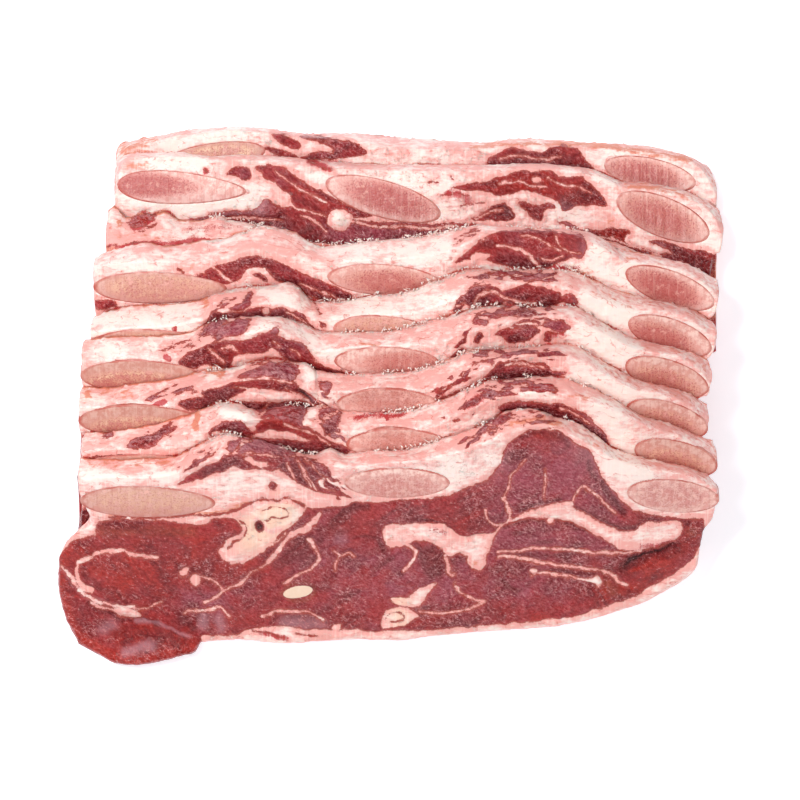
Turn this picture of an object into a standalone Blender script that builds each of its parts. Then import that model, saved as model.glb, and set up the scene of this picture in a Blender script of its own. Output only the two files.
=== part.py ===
"""Flanken-cut beef ribs: nine raw slices, sawn across three rib bones and left fanned as they fell.

Each slice lies on the one behind it.  A slice is a sheet of meat about 9 mm thick whose front is a
height over the table, its back is the front of the slice behind plus a small gap, and its rim shows
as a pale band along the top.  The three bones run through every slice from front to back.
Lengths are in millimetres here and become metres where a mesh is made.  X runs across the slices,
from the left bone to the right one, Y to the rear, Z up.
"""

import math

import bmesh
import bpy

MM = 0.001
GAP = 0.6                # air left between a slice and the one behind it
THICKNESS = 9.5          # the most that a slice measures through
BONE_GAP = 0.3           # air left round a bone, and its step below the sawn faces
RIM_BULGE = 0.8          # how far the rounded rim stands out between front and back
RIM_ROOM = 2.6           # room left in front of a slice's lower rim by the slice that lies on it
STEP_DOWN = 6.0          # the distance in which that slice then comes down to the table
ROWS = 7                 # rows of faces down a hidden slice
FRONT_ROWS = 13          # and down the front slice, which shows whole

# Places across the slices at which their outlines are measured.
STATIONS = (-110, -83, -67, -47, -29, -17, 14, 32, 56, 77, 93, 111)

# name: left and right end, top edge of the front face, top edge of the back face
OUTLINES = {
    "slice_1": (-100, 118, (86, 92, 93, 93, 92, 91, 90, 89, 91, 89, 88, 81),
                (89, 94, 96, 97, 95, 95, 93, 92, 93, 92, 90, 85)),
    "slice_2": (-100, 120, (80, 86, 85, 83, 82, 81, 80, 81, 82, 79, 74, 69),
                (85, 88, 87, 86, 85, 84, 83, 83, 84, 81, 77, 72)),
    "slice_3": (-103, 117, (55, 53, 54, 54, 47, 47, 50, 52, 52, 47, 42, 36),
                (68, 66, 63, 61, 52, 52, 54, 57, 56, 52, 47, 40)),
    "slice_4": (-107, 118, (44, 48, 48, 52, 48, 48, 50, 57, 58, 52, 47, 41),
                (50, 54, 56, 61, 55, 55, 58, 61, 60, 56, 51, 45)),
    "slice_5": (-108, 117, (22, 25, 28, 33, 28, 28, 31, 39, 40, 34, 30, 25),
                (28, 33, 35, 39, 34, 34, 41, 45, 46, 39, 35, 29)),
    "slice_6": (-111, 115, (12, 13, 18, 24, 17, 17, 18, 25, 28, 21, 16, 9),
                (20, 21, 25, 28, 24, 23, 27, 32, 32, 26, 19, 14)),
    "slice_7": (-112, 114, (-4, -4, 2, 6, 1, 1, 2, 11, 16, 7, 1, -7),
                (3, 5, 9, 12, 10, 8, 11, 16, 18, 12, 4, -2)),
    "slice_8": (-111, 117, (-20, -19, -16, -11, -12, -12, -11, -2, 1, -5, -12, -19),
                (-14, -10, -4, -4, -4, -6, -3, 4, 7, 0, -8, -15)),
    "slice_9": (-112, 117, (-31, -29, -24, -21, -24, -25, -23, -18, -11, -21, -27, -31),
                (-22, -22, -17, -16, -19, -21, -17, -11, -6, -17, -23, -28)),
}
FRONT = "slice_9"

# The lower outline of the front slice, and its sides against the depth below the top edge.
LOWER_OUTLINE = (-91, -96, -89, -89, -88, -88, -87, -84.5, -82.5, -79, -72.5, -59)
SIDE_DEPTHS = (0.0, 0.16, 0.25, 0.33, 0.48, 0.70, 0.86, 1.0)
LEFT_SIDE = (0, 0, 3, -2, -7, -8, -6, 2)
RIGHT_SIDE = (0, -1, -3, -5, -6, -7, -8, -10)
BACK_INSET = 0.8         # the back face is this much smaller at the sides and below
FLAT_SLICES = ("slice_1", "slice_2")     # the two that lie almost flat, with straight sides
HIDDEN_LEFT = 0.15       # share of the left side's shape in the slices behind the front one

# name: Y of the lower edge, Y and height of the top edge at mid length, share of upward curl,
# height of the front at the lower edge, how far that edge turns back at the right end
SHEETS = {
    "slice_1": (16, 88, 11, 0.0, 6.0, 0),
    "slice_2": (16, 81, 21, 0.0, 13.0, 0),
    "slice_3": (-11, 58, 32, -0.35, 6.5, 17),
    "slice_4": (-24, 48, 42, -0.15, 6.5, 19),
    "slice_5": (-37, 28, 45, -0.10, 6.5, 21),
    "slice_6": (-50, 17, 50, 0.0, 6.5, 23),
    "slice_7": (-63, 1, 52, 0.10, 6.5, 25),
    "slice_8": (-76, -12, 54, 0.15, 6.5, 27),
    "slice_9": (-88, -25, 55, 0.20, 6.5, 28),
}
SHEET_TURN = 0.46        # share of that turn that brings the sheet's foot back; the rest hangs clear
HUMP = (54, 38, 7)       # the thick muscle between the middle and right bones: X, half width, rise
RIGHT_TURN = (60, 111)   # the stretch over which the lower edge turns back
RIGHT_DROOP = 0.16       # share of the height lost at the right end
LEFT_DROOP = 0.06        # and at the left end

# Bones: column name, half length, half height, and the distance below the top edge of the centre
BONES = {
    "left": (22.5, 6.4, 8.6),
    "middle": (19.5, 6.2, 7.6),
    "right": (15.5, 6.2, 8.0),
}
# Centre X of each bone and its slope, rise over run, by slice and in the order of BONES
BONE_PLACES = {
    "slice_1": ((-75, 0.0), (-4, -0.15), (94, -0.20)),
    "slice_2": ((-75, 0.0), (-2, -0.28), (98, -0.42)),
    "slice_3": ((-78, 0.0), (-3, -0.15), (98, -0.40)),
    "slice_4": ((-82, 0.0), (-3, -0.10), (99, -0.38)),
    "slice_5": ((-83, 0.0), (-3, -0.05), (98, -0.38)),
    "slice_6": ((-86, 0.0), (-2, -0.05), (96, -0.38)),
    "slice_7": ((-87, 0.0), (-2, -0.02), (95, -0.35)),
    "slice_8": ((-86, 0.0), (1, -0.02), (98, -0.32)),
    "slice_9": ((-87, -0.02), (2, 0.02), (98, -0.15)),
}
LOWER_BONES = {("slice_1", "middle"): 5}     # bones that lie this much deeper in their slice
BONE_SIDES = 14
CUTTER_REACH = 3.0       # how far a cutter stands past both faces

# The sawn end of a ligament in the front slice: X, Y, half length, half height, slope
LIGAMENT = (-33.5, -70.5, 5.6, 2.6, 0.27)
LIGAMENT_SIDES = 12

# Swellings and hollows of the front face: X, Y, half length, half width, slope, height
RELIEF = (
    (55, -30, 24, 17, -0.1, 1.6),      # the thick muscle below its hump
    (62, -52, 30, 7, -0.25, 0.9),      # the muscle under it
    (13, -61, 9, 9, 0.0, 1.3),         # a round muscle
    (-88, -58, 26, 20, 0.0, 1.4),      # the wide muscle at the left
    (-20, -55, 30, 14, 0.35, -0.9),    # the hollow between them
    (-90, -84, 22, 5, 0.0, -1.6),      # the step above the lower left lobe
    (93, -60, 17, 3, 0.35, -1.8),      # the gash at the right end
)

FAT_BAND = (0.93, 0.72, 0.66)
LEAN = (0.42, 0.075, 0.07)
BONE = (0.70, 0.42, 0.36)
CARTILAGE = (0.93, 0.84, 0.70)


def smooth(start, end, x):
    """0 before start, 1 after end, and an even S-shaped rise between them."""
    t = min(max((x - start) / (end - start), 0.0), 1.0)
    return t * t * (3 - 2 * t)


def along(places, values, x):
    """The value at x of a smooth curve through values at places, held level past both ends."""
    if x <= places[0]:
        return float(values[0])
    if x >= places[-1]:
        return float(values[-1])
    k = max(i for i in range(len(places) - 1) if places[i] <= x)

    def slope(i):
        low, high = max(i - 1, 0), min(i + 1, len(places) - 1)
        return (values[high] - values[low]) / (places[high] - places[low])

    span = places[k + 1] - places[k]
    t = (x - places[k]) / span
    return (
        (2 * t**3 - 3 * t**2 + 1) * values[k]
        + (t**3 - 2 * t**2 + t) * span * slope(k)
        + (3 * t**2 - 2 * t**3) * values[k + 1]
        + (t**3 - t**2) * span * slope(k + 1)
    )


def droop(x):
    """Share of its full height that a slice keeps at x."""
    return 1 - RIGHT_DROOP * smooth(60, 117, x) - LEFT_DROOP * smooth(-85, -115, x)


def hump(x):
    """How much the sheet reaches further back at x, over the thick muscle."""
    middle, half_width, rise = HUMP
    t = min(abs(x - middle) / half_width, 1.0)
    return rise * (1 - t * t) ** 2


def sheet_height(name, x, y):
    """Height of a slice's front over the table: a parabola from its lower edge to its top edge."""
    low, top, height, curl, edge, turn = SHEETS[name]
    low = low + SHEET_TURN * turn * smooth(*RIGHT_TURN, x)
    top = top + hump(x)
    q = max((y - low) / (top - low), 0.0)
    return edge + (height * droop(x) - edge) * ((1 - curl) * q + curl * q * q)


def relief(x, y):
    """How far the front slice's face swells over its sheet."""
    total = 0.0
    for cx, cy, half_length, half_width, slope, height in RELIEF:
        dx = (x - cx) / half_length
        dy = (y - cy - slope * (x - cx)) / half_width
        total += height * math.exp(-dx * dx - dy * dy)
    return total


def front_height(name, x, y):
    return sheet_height(name, x, y) + (relief(x, y) if name == FRONT else 0.0)


def back_height(name, x, y):
    """Height of a slice's back: on the slice behind it, then down its edge to the table."""
    names = list(SHEETS)
    if name == names[0]:
        return 0.0
    behind = names[names.index(name) - 1]
    support = sheet_height(behind, x, y) + GAP
    if name in FLAT_SLICES:
        return support
    past = lower_edge(behind, x) - RIM_ROOM - y
    support *= 1 - smooth(0.0, STEP_DOWN, past)
    limit = sheet_height(name, x, y) - THICKNESS / tilt(name, x, y)[1]
    return max(support, limit) if past < 0 else support


def tilt(name, x, y):
    """Sine and cosine of the angle at which the sheet leans at a point."""
    step = 1.0
    rise = sheet_height(name, x, y + step) - sheet_height(name, x, y - step)
    length = math.hypot(rise, 2 * step)
    return rise / length, 2 * step / length


def lower_edge(name, x):
    """Y of a slice's lower outline: the front slice's without its lobe, moved back to this one's."""
    front = along(STATIONS, LOWER_OUTLINE, x)
    if name == FRONT:
        return front
    share = SHEETS[name][5] / SHEETS[FRONT][5]
    return SHEETS[name][0] + max(front - SHEETS[FRONT][0], 0.0) * share


def columns(name):
    """X of the inner columns of a slice's grid: the stations, and one more in each wide space."""
    left, right = OUTLINES[name][:2]
    places = []
    for here, after in zip(STATIONS, STATIONS[1:] + (STATIONS[-1],)):
        places.append(here)
        if after - here > 12:
            places.append((here + after) / 2)
        if after - here > 24:
            places.append(here + (after - here) / 4)
            places.append(here + (after - here) * 3 / 4)
    return sorted(x for x in places if left + 7 < x < right - 13)


def row_places(name, x, top, rows):
    """Y of each row of the grid at x.  Where a slice steps down off the one behind, two rows mark it."""
    lower = lower_edge(name, x)
    names = list(SHEETS)
    behind = names[names.index(name) - 1]
    if name in FLAT_SLICES:
        return [top + (lower - top) * row / rows for row in range(rows + 1)]
    step = lower_edge(behind, x) - RIM_ROOM
    upper = [top + (step - top) * row / (rows - 2) for row in range(rows - 1)]
    return upper + [step - STEP_DOWN, lower]


def face_grid(name, rows, back):
    """Rows of points of the front or the back face, from the top edge to the lower one."""
    left, right, front_top, back_top = OUTLINES[name]
    outline = back_top if back else front_top
    inset = BACK_INSET if back else 0.0
    middle = row_places(name, 0.0, along(STATIONS, outline, 0.0), rows)
    depths = [(middle[0] - y) / (middle[0] - middle[-1]) for y in middle]
    grid = [[] for _ in depths]
    left_share = 1.0 if name == FRONT else HIDDEN_LEFT
    right_share = 0.0 if name in FLAT_SLICES else 1.0
    for row, depth in enumerate(depths):
        start = left + along(SIDE_DEPTHS, LEFT_SIDE, depth) * left_share + inset
        end = right + along(SIDE_DEPTHS, RIGHT_SIDE, depth) * right_share - inset
        for x in [start] + columns(name) + [end]:
            y = row_places(name, x, along(STATIONS, outline, x), rows)[row]
            if back and row == rows:
                y += inset
            z = back_height(name, x, y) if back else front_height(name, x, y)
            grid[row].append((x, y, z))
    return grid


def border(rows, count):
    """(row, column) of each grid point on the border, once round, from the top left corner."""
    ring = [(0, i) for i in range(count)]
    ring += [(j, count - 1) for j in range(1, rows + 1)]
    ring += [(rows, i) for i in range(count - 2, -1, -1)]
    ring += [(j, 0) for j in range(rows - 1, 0, -1)]
    return ring


def material(name, colour, roughness):
    made = bpy.data.materials.new(name)
    made.use_nodes = True
    shader = made.node_tree.nodes["Principled BSDF"]
    shader.inputs["Base Color"].default_value = (*colour, 1.0)
    shader.inputs["Roughness"].default_value = roughness
    shader.inputs["Metallic"].default_value = 0.0
    return made


def add_object(name, points, faces, finish):
    """A closed mesh object in metres, faces outwards, placed by its parent."""
    mesh = bpy.data.meshes.new(name)
    mesh.from_pydata([tuple(MM * value for value in point) for point in points], [], faces)
    shape = bmesh.new()
    shape.from_mesh(mesh)
    bmesh.ops.recalc_face_normals(shape, faces=shape.faces)
    shape.to_mesh(mesh)
    shape.free()
    mesh.materials.append(finish)
    mesh.shade_smooth()
    mesh.set_sharp_from_angle(angle=math.radians(40))
    made = bpy.data.objects.new(name, mesh)
    bpy.context.scene.collection.objects.link(made)
    return made


def add_slice(name, finish):
    """Front and back grids, joined round the border through a ring that stands out a little."""
    rows = FRONT_ROWS if name == FRONT else ROWS
    front = face_grid(name, rows, back=False)
    back = face_grid(name, rows, back=True)
    count = len(front[0])
    points = [point for line in front for point in line]
    shift = len(points)
    points += [point for line in back for point in line]

    faces = []
    for j in range(rows):
        for i in range(count - 1):
            a = j * count + i
            faces.append((a, a + count, a + count + 1, a + 1))
            faces.append((shift + a, shift + a + 1, shift + a + count + 1, shift + a + count))

    ring = border(rows, count)
    first = len(points)
    for k, (j, i) in enumerate(ring):
        before, after = ring[k - 1], ring[(k + 1) % len(ring)]
        dx = front[after[0]][after[1]][0] - front[before[0]][before[1]][0]
        dy = front[after[0]][after[1]][1] - front[before[0]][before[1]][1]
        length = math.hypot(dx, dy)
        f, b = front[j][i], back[j][i]
        points.append((
            (f[0] + b[0]) / 2 - RIM_BULGE * dy / length,
            (f[1] + b[1]) / 2 + RIM_BULGE * dx / length,
            (f[2] + b[2]) / 2 + (RIM_BULGE if j == 0 else 0.0),
        ))
    for k, (j, i) in enumerate(ring):
        after = (k + 1) % len(ring)
        here, there = j * count + i, ring[after][0] * count + ring[after][1]
        faces.append((here, there, first + after, first + k))
        faces.append((first + k, first + after, shift + there, shift + here))
    return add_object(name, points, faces, finish)


def add_plug(name, owner, oval, sides, grow, reach, finish):
    """A prism through a slice, square to its front: an oval there, and the same oval at its back.

    oval is its centre, half length, half height along the slope, and slope in the face.  grow
    widens it and reach carries its ends past the faces, or short of them where it is negative.
    """
    cx, cy, half_length, half_height, slope = oval
    sine, cosine = tilt(owner, cx, cy)
    turn = math.atan(slope)
    depth = front_height(owner, cx, cy) - back_height(owner, cx, cy)
    outlines = []
    for height, carry in ((front_height, reach), (back_height, -reach)):
        backward = 0.0 if height is front_height else depth * cosine * sine
        outline = []
        for k in range(sides):
            angle = 2 * math.pi * k / sides
            u = (half_length + grow) * math.cos(angle)
            w = (half_height + grow) * math.sin(angle)
            x = cx + u * math.cos(turn) - w * math.sin(turn)
            y = cy + (u * math.sin(turn) + w * math.cos(turn)) * cosine + backward
            outline.append((x, y - carry * sine, height(owner, x, y) + carry * cosine))
        y = cy + backward
        outline.append((cx, y - carry * sine, height(owner, cx, y) + carry * cosine))
        outlines.append(outline)

    points = outlines[0] + outlines[1]
    size = sides + 1
    faces = []
    for k in range(sides):
        after = (k + 1) % sides
        faces.append((k, after, sides))
        faces.append((size + after, size + k, size + sides))
        faces.append((after, k, size + k, size + after))
    return add_object(name, points, faces, finish)


def cut(target, cutter):
    cutter.hide_render = True
    cutter.display_type = "WIRE"
    hole = target.modifiers.new("hole", "BOOLEAN")
    hole.operation = "DIFFERENCE"
    hole.object = cutter


def bone_ovals(name):
    """The oval of each bone in a slice, its centre set below the top edge of the front face."""
    front_top = OUTLINES[name][2]
    for (column, sizes), (cx, slope) in zip(BONES.items(), BONE_PLACES[name]):
        half_length, half_height, below = sizes
        top = along(STATIONS, front_top, cx)
        cosine = tilt(name, cx, top)[1]
        centre = top - below * (0.3 + 0.7 * cosine) - abs(slope) * half_length * 0.35
        centre -= LOWER_BONES.get((name, column), 0)
        yield column, (cx, centre, half_length, half_height, slope)


def clear_scene():
    for old in list(bpy.data.objects):
        bpy.data.objects.remove(old, do_unlink=True)


def centre_on_base(pile, made):
    """Moves the whole so that its box stands on Z = 0, centred on the Z axis."""
    low = [min(vertex.co[k] for item in made for vertex in item.data.vertices) for k in range(3)]
    high = [max(vertex.co[k] for item in made for vertex in item.data.vertices) for k in range(3)]
    pile.location = (-(low[0] + high[0]) / 2, -(low[1] + high[1]) / 2, -low[2])


def build():
    clear_scene()
    pile = bpy.data.objects.new("beef_ribs", None)
    bpy.context.scene.collection.objects.link(pile)
    meat = material("raw_meat_and_fat", LEAN, 0.45)
    rim = material("fat_rim", FAT_BAND, 0.5)
    bone = material("sawn_bone", BONE, 0.6)
    cartilage = material("cartilage", CARTILAGE, 0.4)

    made = []
    for name in SHEETS:
        body = add_slice(name, meat if name == FRONT else rim)
        plugs = [
            ("bone_" + name[-1] + "_" + column, oval, BONE_SIDES, bone)
            for column, oval in bone_ovals(name)
        ]
        if name == FRONT:
            plugs.append(("ligament", LIGAMENT, LIGAMENT_SIDES, cartilage))
        made.append(body)
        for plug, oval, sides, finish in plugs:
            cutter = add_plug(
                plug + "_hole", name, oval, sides, BONE_GAP, CUTTER_REACH, finish
            )
            cut(body, cutter)
            cutter.parent = pile
            made.append(add_plug(plug, name, oval, sides, 0.0, -BONE_GAP, finish))
    for item in made:
        item.parent = pile
    centre_on_base(pile, made)


build()
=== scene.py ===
"""Flanken-cut beef ribs: nine raw slices across three rib bones, fanned on a pale surface.

Each slice is a closed mesh that follows the solid's own sheet: front face, rounded rim and back.  Its
lean, fat, stains and seams are outlines in the slice's own section, kept on the mesh as attributes.
Surfaces are worked out in millimetres and become metres where a mesh is made.
"""

import math

import bpy
import numpy as np
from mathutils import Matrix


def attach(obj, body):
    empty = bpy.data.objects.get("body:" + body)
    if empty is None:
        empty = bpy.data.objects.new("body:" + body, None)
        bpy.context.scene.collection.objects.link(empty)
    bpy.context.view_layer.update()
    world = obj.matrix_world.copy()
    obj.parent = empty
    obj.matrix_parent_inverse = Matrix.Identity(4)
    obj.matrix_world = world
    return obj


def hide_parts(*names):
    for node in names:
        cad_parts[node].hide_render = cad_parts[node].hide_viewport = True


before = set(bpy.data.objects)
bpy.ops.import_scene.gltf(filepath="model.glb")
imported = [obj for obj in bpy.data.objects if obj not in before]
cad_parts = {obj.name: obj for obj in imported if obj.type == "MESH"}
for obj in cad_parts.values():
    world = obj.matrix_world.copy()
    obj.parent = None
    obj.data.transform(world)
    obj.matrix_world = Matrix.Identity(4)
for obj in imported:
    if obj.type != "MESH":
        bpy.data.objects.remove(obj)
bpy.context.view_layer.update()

# --- The surface under the pile, the light and the view ---------------------------------------------
# A plain white top, a broad soft light from the upper left and a white room that fills the shadows.
# The camera looks straight down from three metres with a long lens.

CENTRE = (0.0437, -0.3072)       # moves the slices' own places to the middle of the pile's box
CAMERA_MM = (3.06 + CENTRE[0], -1.62 + CENTRE[1], 3000.0)
PICTURE_PIXELS = 800
PIXEL_MM = 0.36                  # what one pixel of the picture covers at mid height
MID_HEIGHT = 40.0
FOCAL_PIXELS = (CAMERA_MM[2] - MID_HEIGHT) / PIXEL_MM


def camera_above():
    """A camera straight above the pile whose picture has PIXEL_MM to the pixel at mid height."""
    lens = bpy.data.cameras.new("view")
    lens.sensor_width = 36.0
    lens.lens = lens.sensor_width * FOCAL_PIXELS / PICTURE_PIXELS
    lens.clip_end = 10.0
    made = bpy.data.objects.new("view", lens)
    made.location = [value / 1000 for value in CAMERA_MM]
    bpy.context.scene.collection.objects.link(made)
    bpy.context.scene.camera = made


def soft_light(name, place, size, power, colour):
    """A square light at place that faces the pile."""
    lamp = bpy.data.lights.new(name, "AREA")
    lamp.size = size
    lamp.energy = power
    lamp.color = colour
    made = bpy.data.objects.new(name, lamp)
    made.location = place
    away = made.location.normalized()
    made.rotation_euler = away.to_track_quat("Z", "Y").to_euler()
    bpy.context.scene.collection.objects.link(made)
    return made


def shader_node(tree, kind, inputs=(), **settings):
    """One node: settings are its properties, inputs its values or the outputs that feed it."""
    made = tree.nodes.new("ShaderNode" + kind)
    for key, value in settings.items():
        setattr(made, key, value)
    for key, value in inputs.items() if isinstance(inputs, dict) else enumerate(inputs):
        if isinstance(value, bpy.types.NodeSocket):
            tree.links.new(value, made.inputs[key])
        else:
            made.inputs[key].default_value = value
    return made


def white_surface():
    """A plain white top with a faint mottle, large enough to fill every view."""
    mesh = bpy.data.meshes.new("white_surface")
    reach, below = 3.0, -0.0002
    corners = [(-reach, -reach, below), (reach, -reach, below), (reach, reach, below), (-reach, reach, below)]
    mesh.from_pydata(corners, [], [(0, 1, 2, 3)])
    made = bpy.data.objects.new("white_surface", mesh)
    bpy.context.scene.collection.objects.link(made)
    finish = bpy.data.materials.new("white_top")
    finish.use_nodes = True
    tree = finish.node_tree
    shader = tree.nodes["Principled BSDF"]
    where = shader_node(tree, "TexCoord")
    mottle = shader_node(tree, "TexNoise", {"Vector": where.outputs["Object"], "Scale": 3.0})
    tint = shader_node(tree, "Mix", {0: mottle.outputs[0], 6: (0.86, 0.90, 0.96, 1), 7: (0.88, 0.92, 0.98, 1)},
                       data_type="RGBA")
    tree.links.new(tint.outputs[2], shader.inputs["Base Color"])
    shader.inputs["Roughness"].default_value = 0.9
    shader.inputs["Specular IOR Level"].default_value = 0.1
    shader.inputs["Emission Color"].default_value = (0.93, 0.95, 1.0, 1)
    shader.inputs["Emission Strength"].default_value = 0.50
    mesh.materials.append(finish)


camera_above()
soft_light("window", (-0.62, 0.42, 1.55), 0.45, 24.0, (1.0, 0.99, 0.98))
soft_light("front", (0.35, -1.1, 1.5), 1.0, 11.0, (1.0, 0.97, 0.95))
wet_glint = soft_light("glint", (-0.42, 0.22, 1.7), 0.26, 24.0, (1.0, 1.0, 1.0))
wet_glint.visible_diffuse = False
room = bpy.data.worlds.new("white_room")
room.use_nodes = True
room.node_tree.nodes["Background"].inputs["Color"].default_value = (1.0, 0.955, 0.93, 1)
room.node_tree.nodes["Background"].inputs["Strength"].default_value = 0.32
bpy.context.scene.world = room
bpy.context.scene.view_settings.view_transform = "Standard"
white_surface()


# --- The sheet of each slice -----------------------------------------------------------------------
# A slice lies on the one behind it, so its front is a height over the table that rises from its foot
# to its top edge, its back is the front of the slice behind, and its lower edge reaches the table.

GAP = 0.6                # between a slice and the one behind it
THICKNESS = 9.5
RIM_ROOM = 2.6           # from a slice's foot to where the next one starts down to the table
STEP_DOWN = 6.0          # the length of that way down
FRONT = "slice_9"
FLAT_SLICES = ("slice_1", "slice_2")
STATIONS = (-110, -83, -67, -47, -29, -17, 14, 32, 56, 77, 93, 111)       # X along the front slice's foot
LOWER_OUTLINE = (-91, -96, -89, -89, -88, -88, -87, -84.5, -82.5, -79, -72.5, -59)       # Y of it there
SIDE_DEPTHS = (0, 0.16, 0.25, 0.33, 0.48, 0.70, 0.86, 1)       # shares of the way down a side
LEFT_SIDE = (0, 0, 3, -2, -7, -8, -6, 2)                       # how far the sides stand out there
RIGHT_SIDE = (0, -1, -3, -5, -6, -7, -8, -10)
HIDDEN_LEFT = 0.15       # the share of LEFT_SIDE that a covered slice has
RIGHT_SHARES = {"slice_1": 0.0, "slice_2": 0.8}
BACK_INSET = 0.8
# name: Y of the foot, Y and height of the top edge, upward curl, height of the foot, turn at the right
SHEETS = {
    "slice_1": (16, 88, 11, 0.0, 6.0, 0),
    "slice_2": (16, 81, 21, 0.0, 13.0, 0),
    "slice_3": (-11, 58, 32, -0.35, 6.5, 17),
    "slice_4": (-24, 48, 42, -0.15, 6.5, 19),
    "slice_5": (-37, 28, 45, -0.10, 6.5, 21),
    "slice_6": (-50, 17, 50, 0.0, 6.5, 23),
    "slice_7": (-63, 1, 52, 0.10, 6.5, 25),
    "slice_8": (-76, -12, 54, 0.15, 6.5, 27),
    "slice_9": (-88, -25, 55, 0.20, 6.5, 28),
}
SLICE_NAMES = list(SHEETS)
SHEET_TURN = 0.46
HUMP_X, HUMP_HALF, HUMP_RISE = 54, 38, 7       # the round muscle that lifts every top edge
# Centre, half length, half width, slope and height of the front muscles' swellings and hollows
RELIEF = (
    (55, -30, 24, 17, -0.1, 1.6),
    (62, -52, 30, 7, -0.25, 0.9),
    (13, -61, 9, 9, 0.0, 1.3),
    (-88, -58, 26, 20, 0.0, 1.4),
    (-20, -55, 30, 14, 0.35, -0.9),
    (-90, -84, 22, 5, 0.0, -1.6),
    (93, -60, 17, 3, 0.35, -1.8),
)


def smooth(start, end, x):
    """0 before start, 1 after end, and an even S-shaped rise between them."""
    t = np.clip((x - start) / (end - start), 0.0, 1.0)
    return t * t * (3 - 2 * t)


def along(places, values, x):
    """The value at x of a smooth curve through values at places, held level past both ends."""
    places, values = np.asarray(places, float), np.asarray(values, float)
    high = np.minimum(np.arange(len(places)) + 1, len(places) - 1)
    low = np.maximum(np.arange(len(places)) - 1, 0)
    slopes = (values[high] - values[low]) / (places[high] - places[low])
    x = np.clip(x, places[0], places[-1])
    k = np.clip(np.searchsorted(places, x, side="right") - 1, 0, len(places) - 2)
    span = places[k + 1] - places[k]
    t = (x - places[k]) / span
    return (
        (2 * t**3 - 3 * t**2 + 1) * values[k]
        + (t**3 - 2 * t**2 + t) * span * slopes[k]
        + (3 * t**2 - 2 * t**3) * values[k + 1]
        + (t**3 - t**2) * span * slopes[k + 1]
    )


def sheet_height(name, x, y):
    """Height of a slice's front: foot + (top - foot) times a curled share of the way up from the foot."""
    low, top, height, curl, foot, turn = SHEETS[name]
    low = low + SHEET_TURN * turn * smooth(60, 111, x)
    top = top + HUMP_RISE * (1 - np.minimum(np.abs(x - HUMP_X) / HUMP_HALF, 1.0) ** 2) ** 2
    droop = 1 - 0.16 * smooth(60, 117, x) - 0.06 * smooth(-85, -115, x)
    q = np.maximum((y - low) / (top - low), 0.0)
    return foot + (height * droop - foot) * ((1 - curl) * q + curl * q * q)


def front_height(name, x, y):
    """The sheet, and on the front slice the swellings and hollows of its muscles."""
    total = sheet_height(name, x, y)
    if name == FRONT:
        for cx, cy, half_length, half_width, slope, height in RELIEF:
            dx = (x - cx) / half_length
            dy = (y - cy - slope * (x - cx)) / half_width
            total = total + height * np.exp(-dx * dx - dy * dy)
    return total


def lower_edge(name, x):
    """Y of a slice's foot: the front slice's, or one that turns back at the right by its own share."""
    front = along(STATIONS, LOWER_OUTLINE, x)
    if name == FRONT:
        return front
    share = SHEETS[name][5] / SHEETS[FRONT][5]
    return SHEETS[name][0] + np.maximum(front - SHEETS[FRONT][0], 0.0) * share


def cosine(name, x, y):
    """Cosine of the sheet's lean."""
    rise = (sheet_height(name, x, y + 1.0) - sheet_height(name, x, y - 1.0)) / 2.0
    return 1 / np.sqrt(1 + rise * rise)


def back_height(name, x, y):
    """On the slice behind, no deeper than the thickness, and down to the table past that one's foot."""
    if name == SLICE_NAMES[0]:
        return np.zeros_like(x)
    behind = SLICE_NAMES[SLICE_NAMES.index(name) - 1]
    support = sheet_height(behind, x, y) + GAP
    if name in FLAT_SLICES:
        return support
    past = lower_edge(behind, x) - RIM_ROOM - y
    support = support * (1 - smooth(0.0, STEP_DOWN, past))
    limit = sheet_height(name, x, y) - THICKNESS / cosine(name, x, y)
    return np.where(past < 0, np.maximum(support, limit), support)


def picture_place(x, y, z):
    """Where a point falls in the picture, and how many pixels a millimetre takes there."""
    scale = FOCAL_PIXELS / (CAMERA_MM[2] - z)
    px = PICTURE_PIXELS / 2 + (x + CENTRE[0] - CAMERA_MM[0]) * scale
    return px, PICTURE_PIXELS / 2 - (y + CENTRE[1] - CAMERA_MM[1]) * scale, scale


def place_under(px, py, scale):
    """The point that falls at a place of the picture, at the height that the scale stands for."""
    x = (px - PICTURE_PIXELS / 2) / scale + CAMERA_MM[0] - CENTRE[0]
    return x, (PICTURE_PIXELS / 2 - py) / scale + CAMERA_MM[1] - CENTRE[1]


def pairs(numbers):
    """An outline or line, given as x, y, x, y and so on, as rows of x and y."""
    return np.reshape(numbers, (-1, 2)).astype(float)


def edge_from_picture(name, outline, x, height):
    """Y at each x of an edge that the picture shows as outline: solved with the sheet's own height."""
    across, down = pairs(outline).T
    z = np.full_like(x, MID_HEIGHT)
    for _ in range(4):
        px, _, scale = picture_place(x, 0.0, z)
        y = place_under(px, along(across, down, px), scale)[1]
        z = height(name, x, y)
    return y


# --- Drawing lean, fat and stains on a slice --------------------------------------------------------
# Outlines and lines are x, y, x, y in pixels where they fall in the picture, bent a little by noise.
# Each point of a mesh keeps how far it lies inside the lean, how dark that is (partly painted shade in creases and
# gaps), and how much is stained.

REACH = 12.0                           # pixels past which an outline no longer matters
USUAL_FIBRES = (35, 60, [400, 400])    # turn, width and middle of the grain away from all marks


def noise(x, y, z, size, seed):
    """Random values from -1 to 1 at the corners of cubes of a size, blended smoothly between them."""
    table = np.random.default_rng(seed).uniform(-1, 1, (32, 32, 32))
    places = [np.asarray(value, float) / size + 64 for value in (x, y, z)]
    cells = [np.floor(value).astype(int) for value in places]
    shares = [smooth(0.0, 1.0, value - cell) for value, cell in zip(places, cells)]
    total = 0.0
    for corner in np.ndindex(2, 2, 2):
        weight = 1.0
        for share, side in zip(shares, corner):
            weight = weight * (share if side else 1 - share)
        total = total + weight * table[tuple((cell + side) % 32 for cell, side in zip(cells, corner))]
    return total


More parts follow.
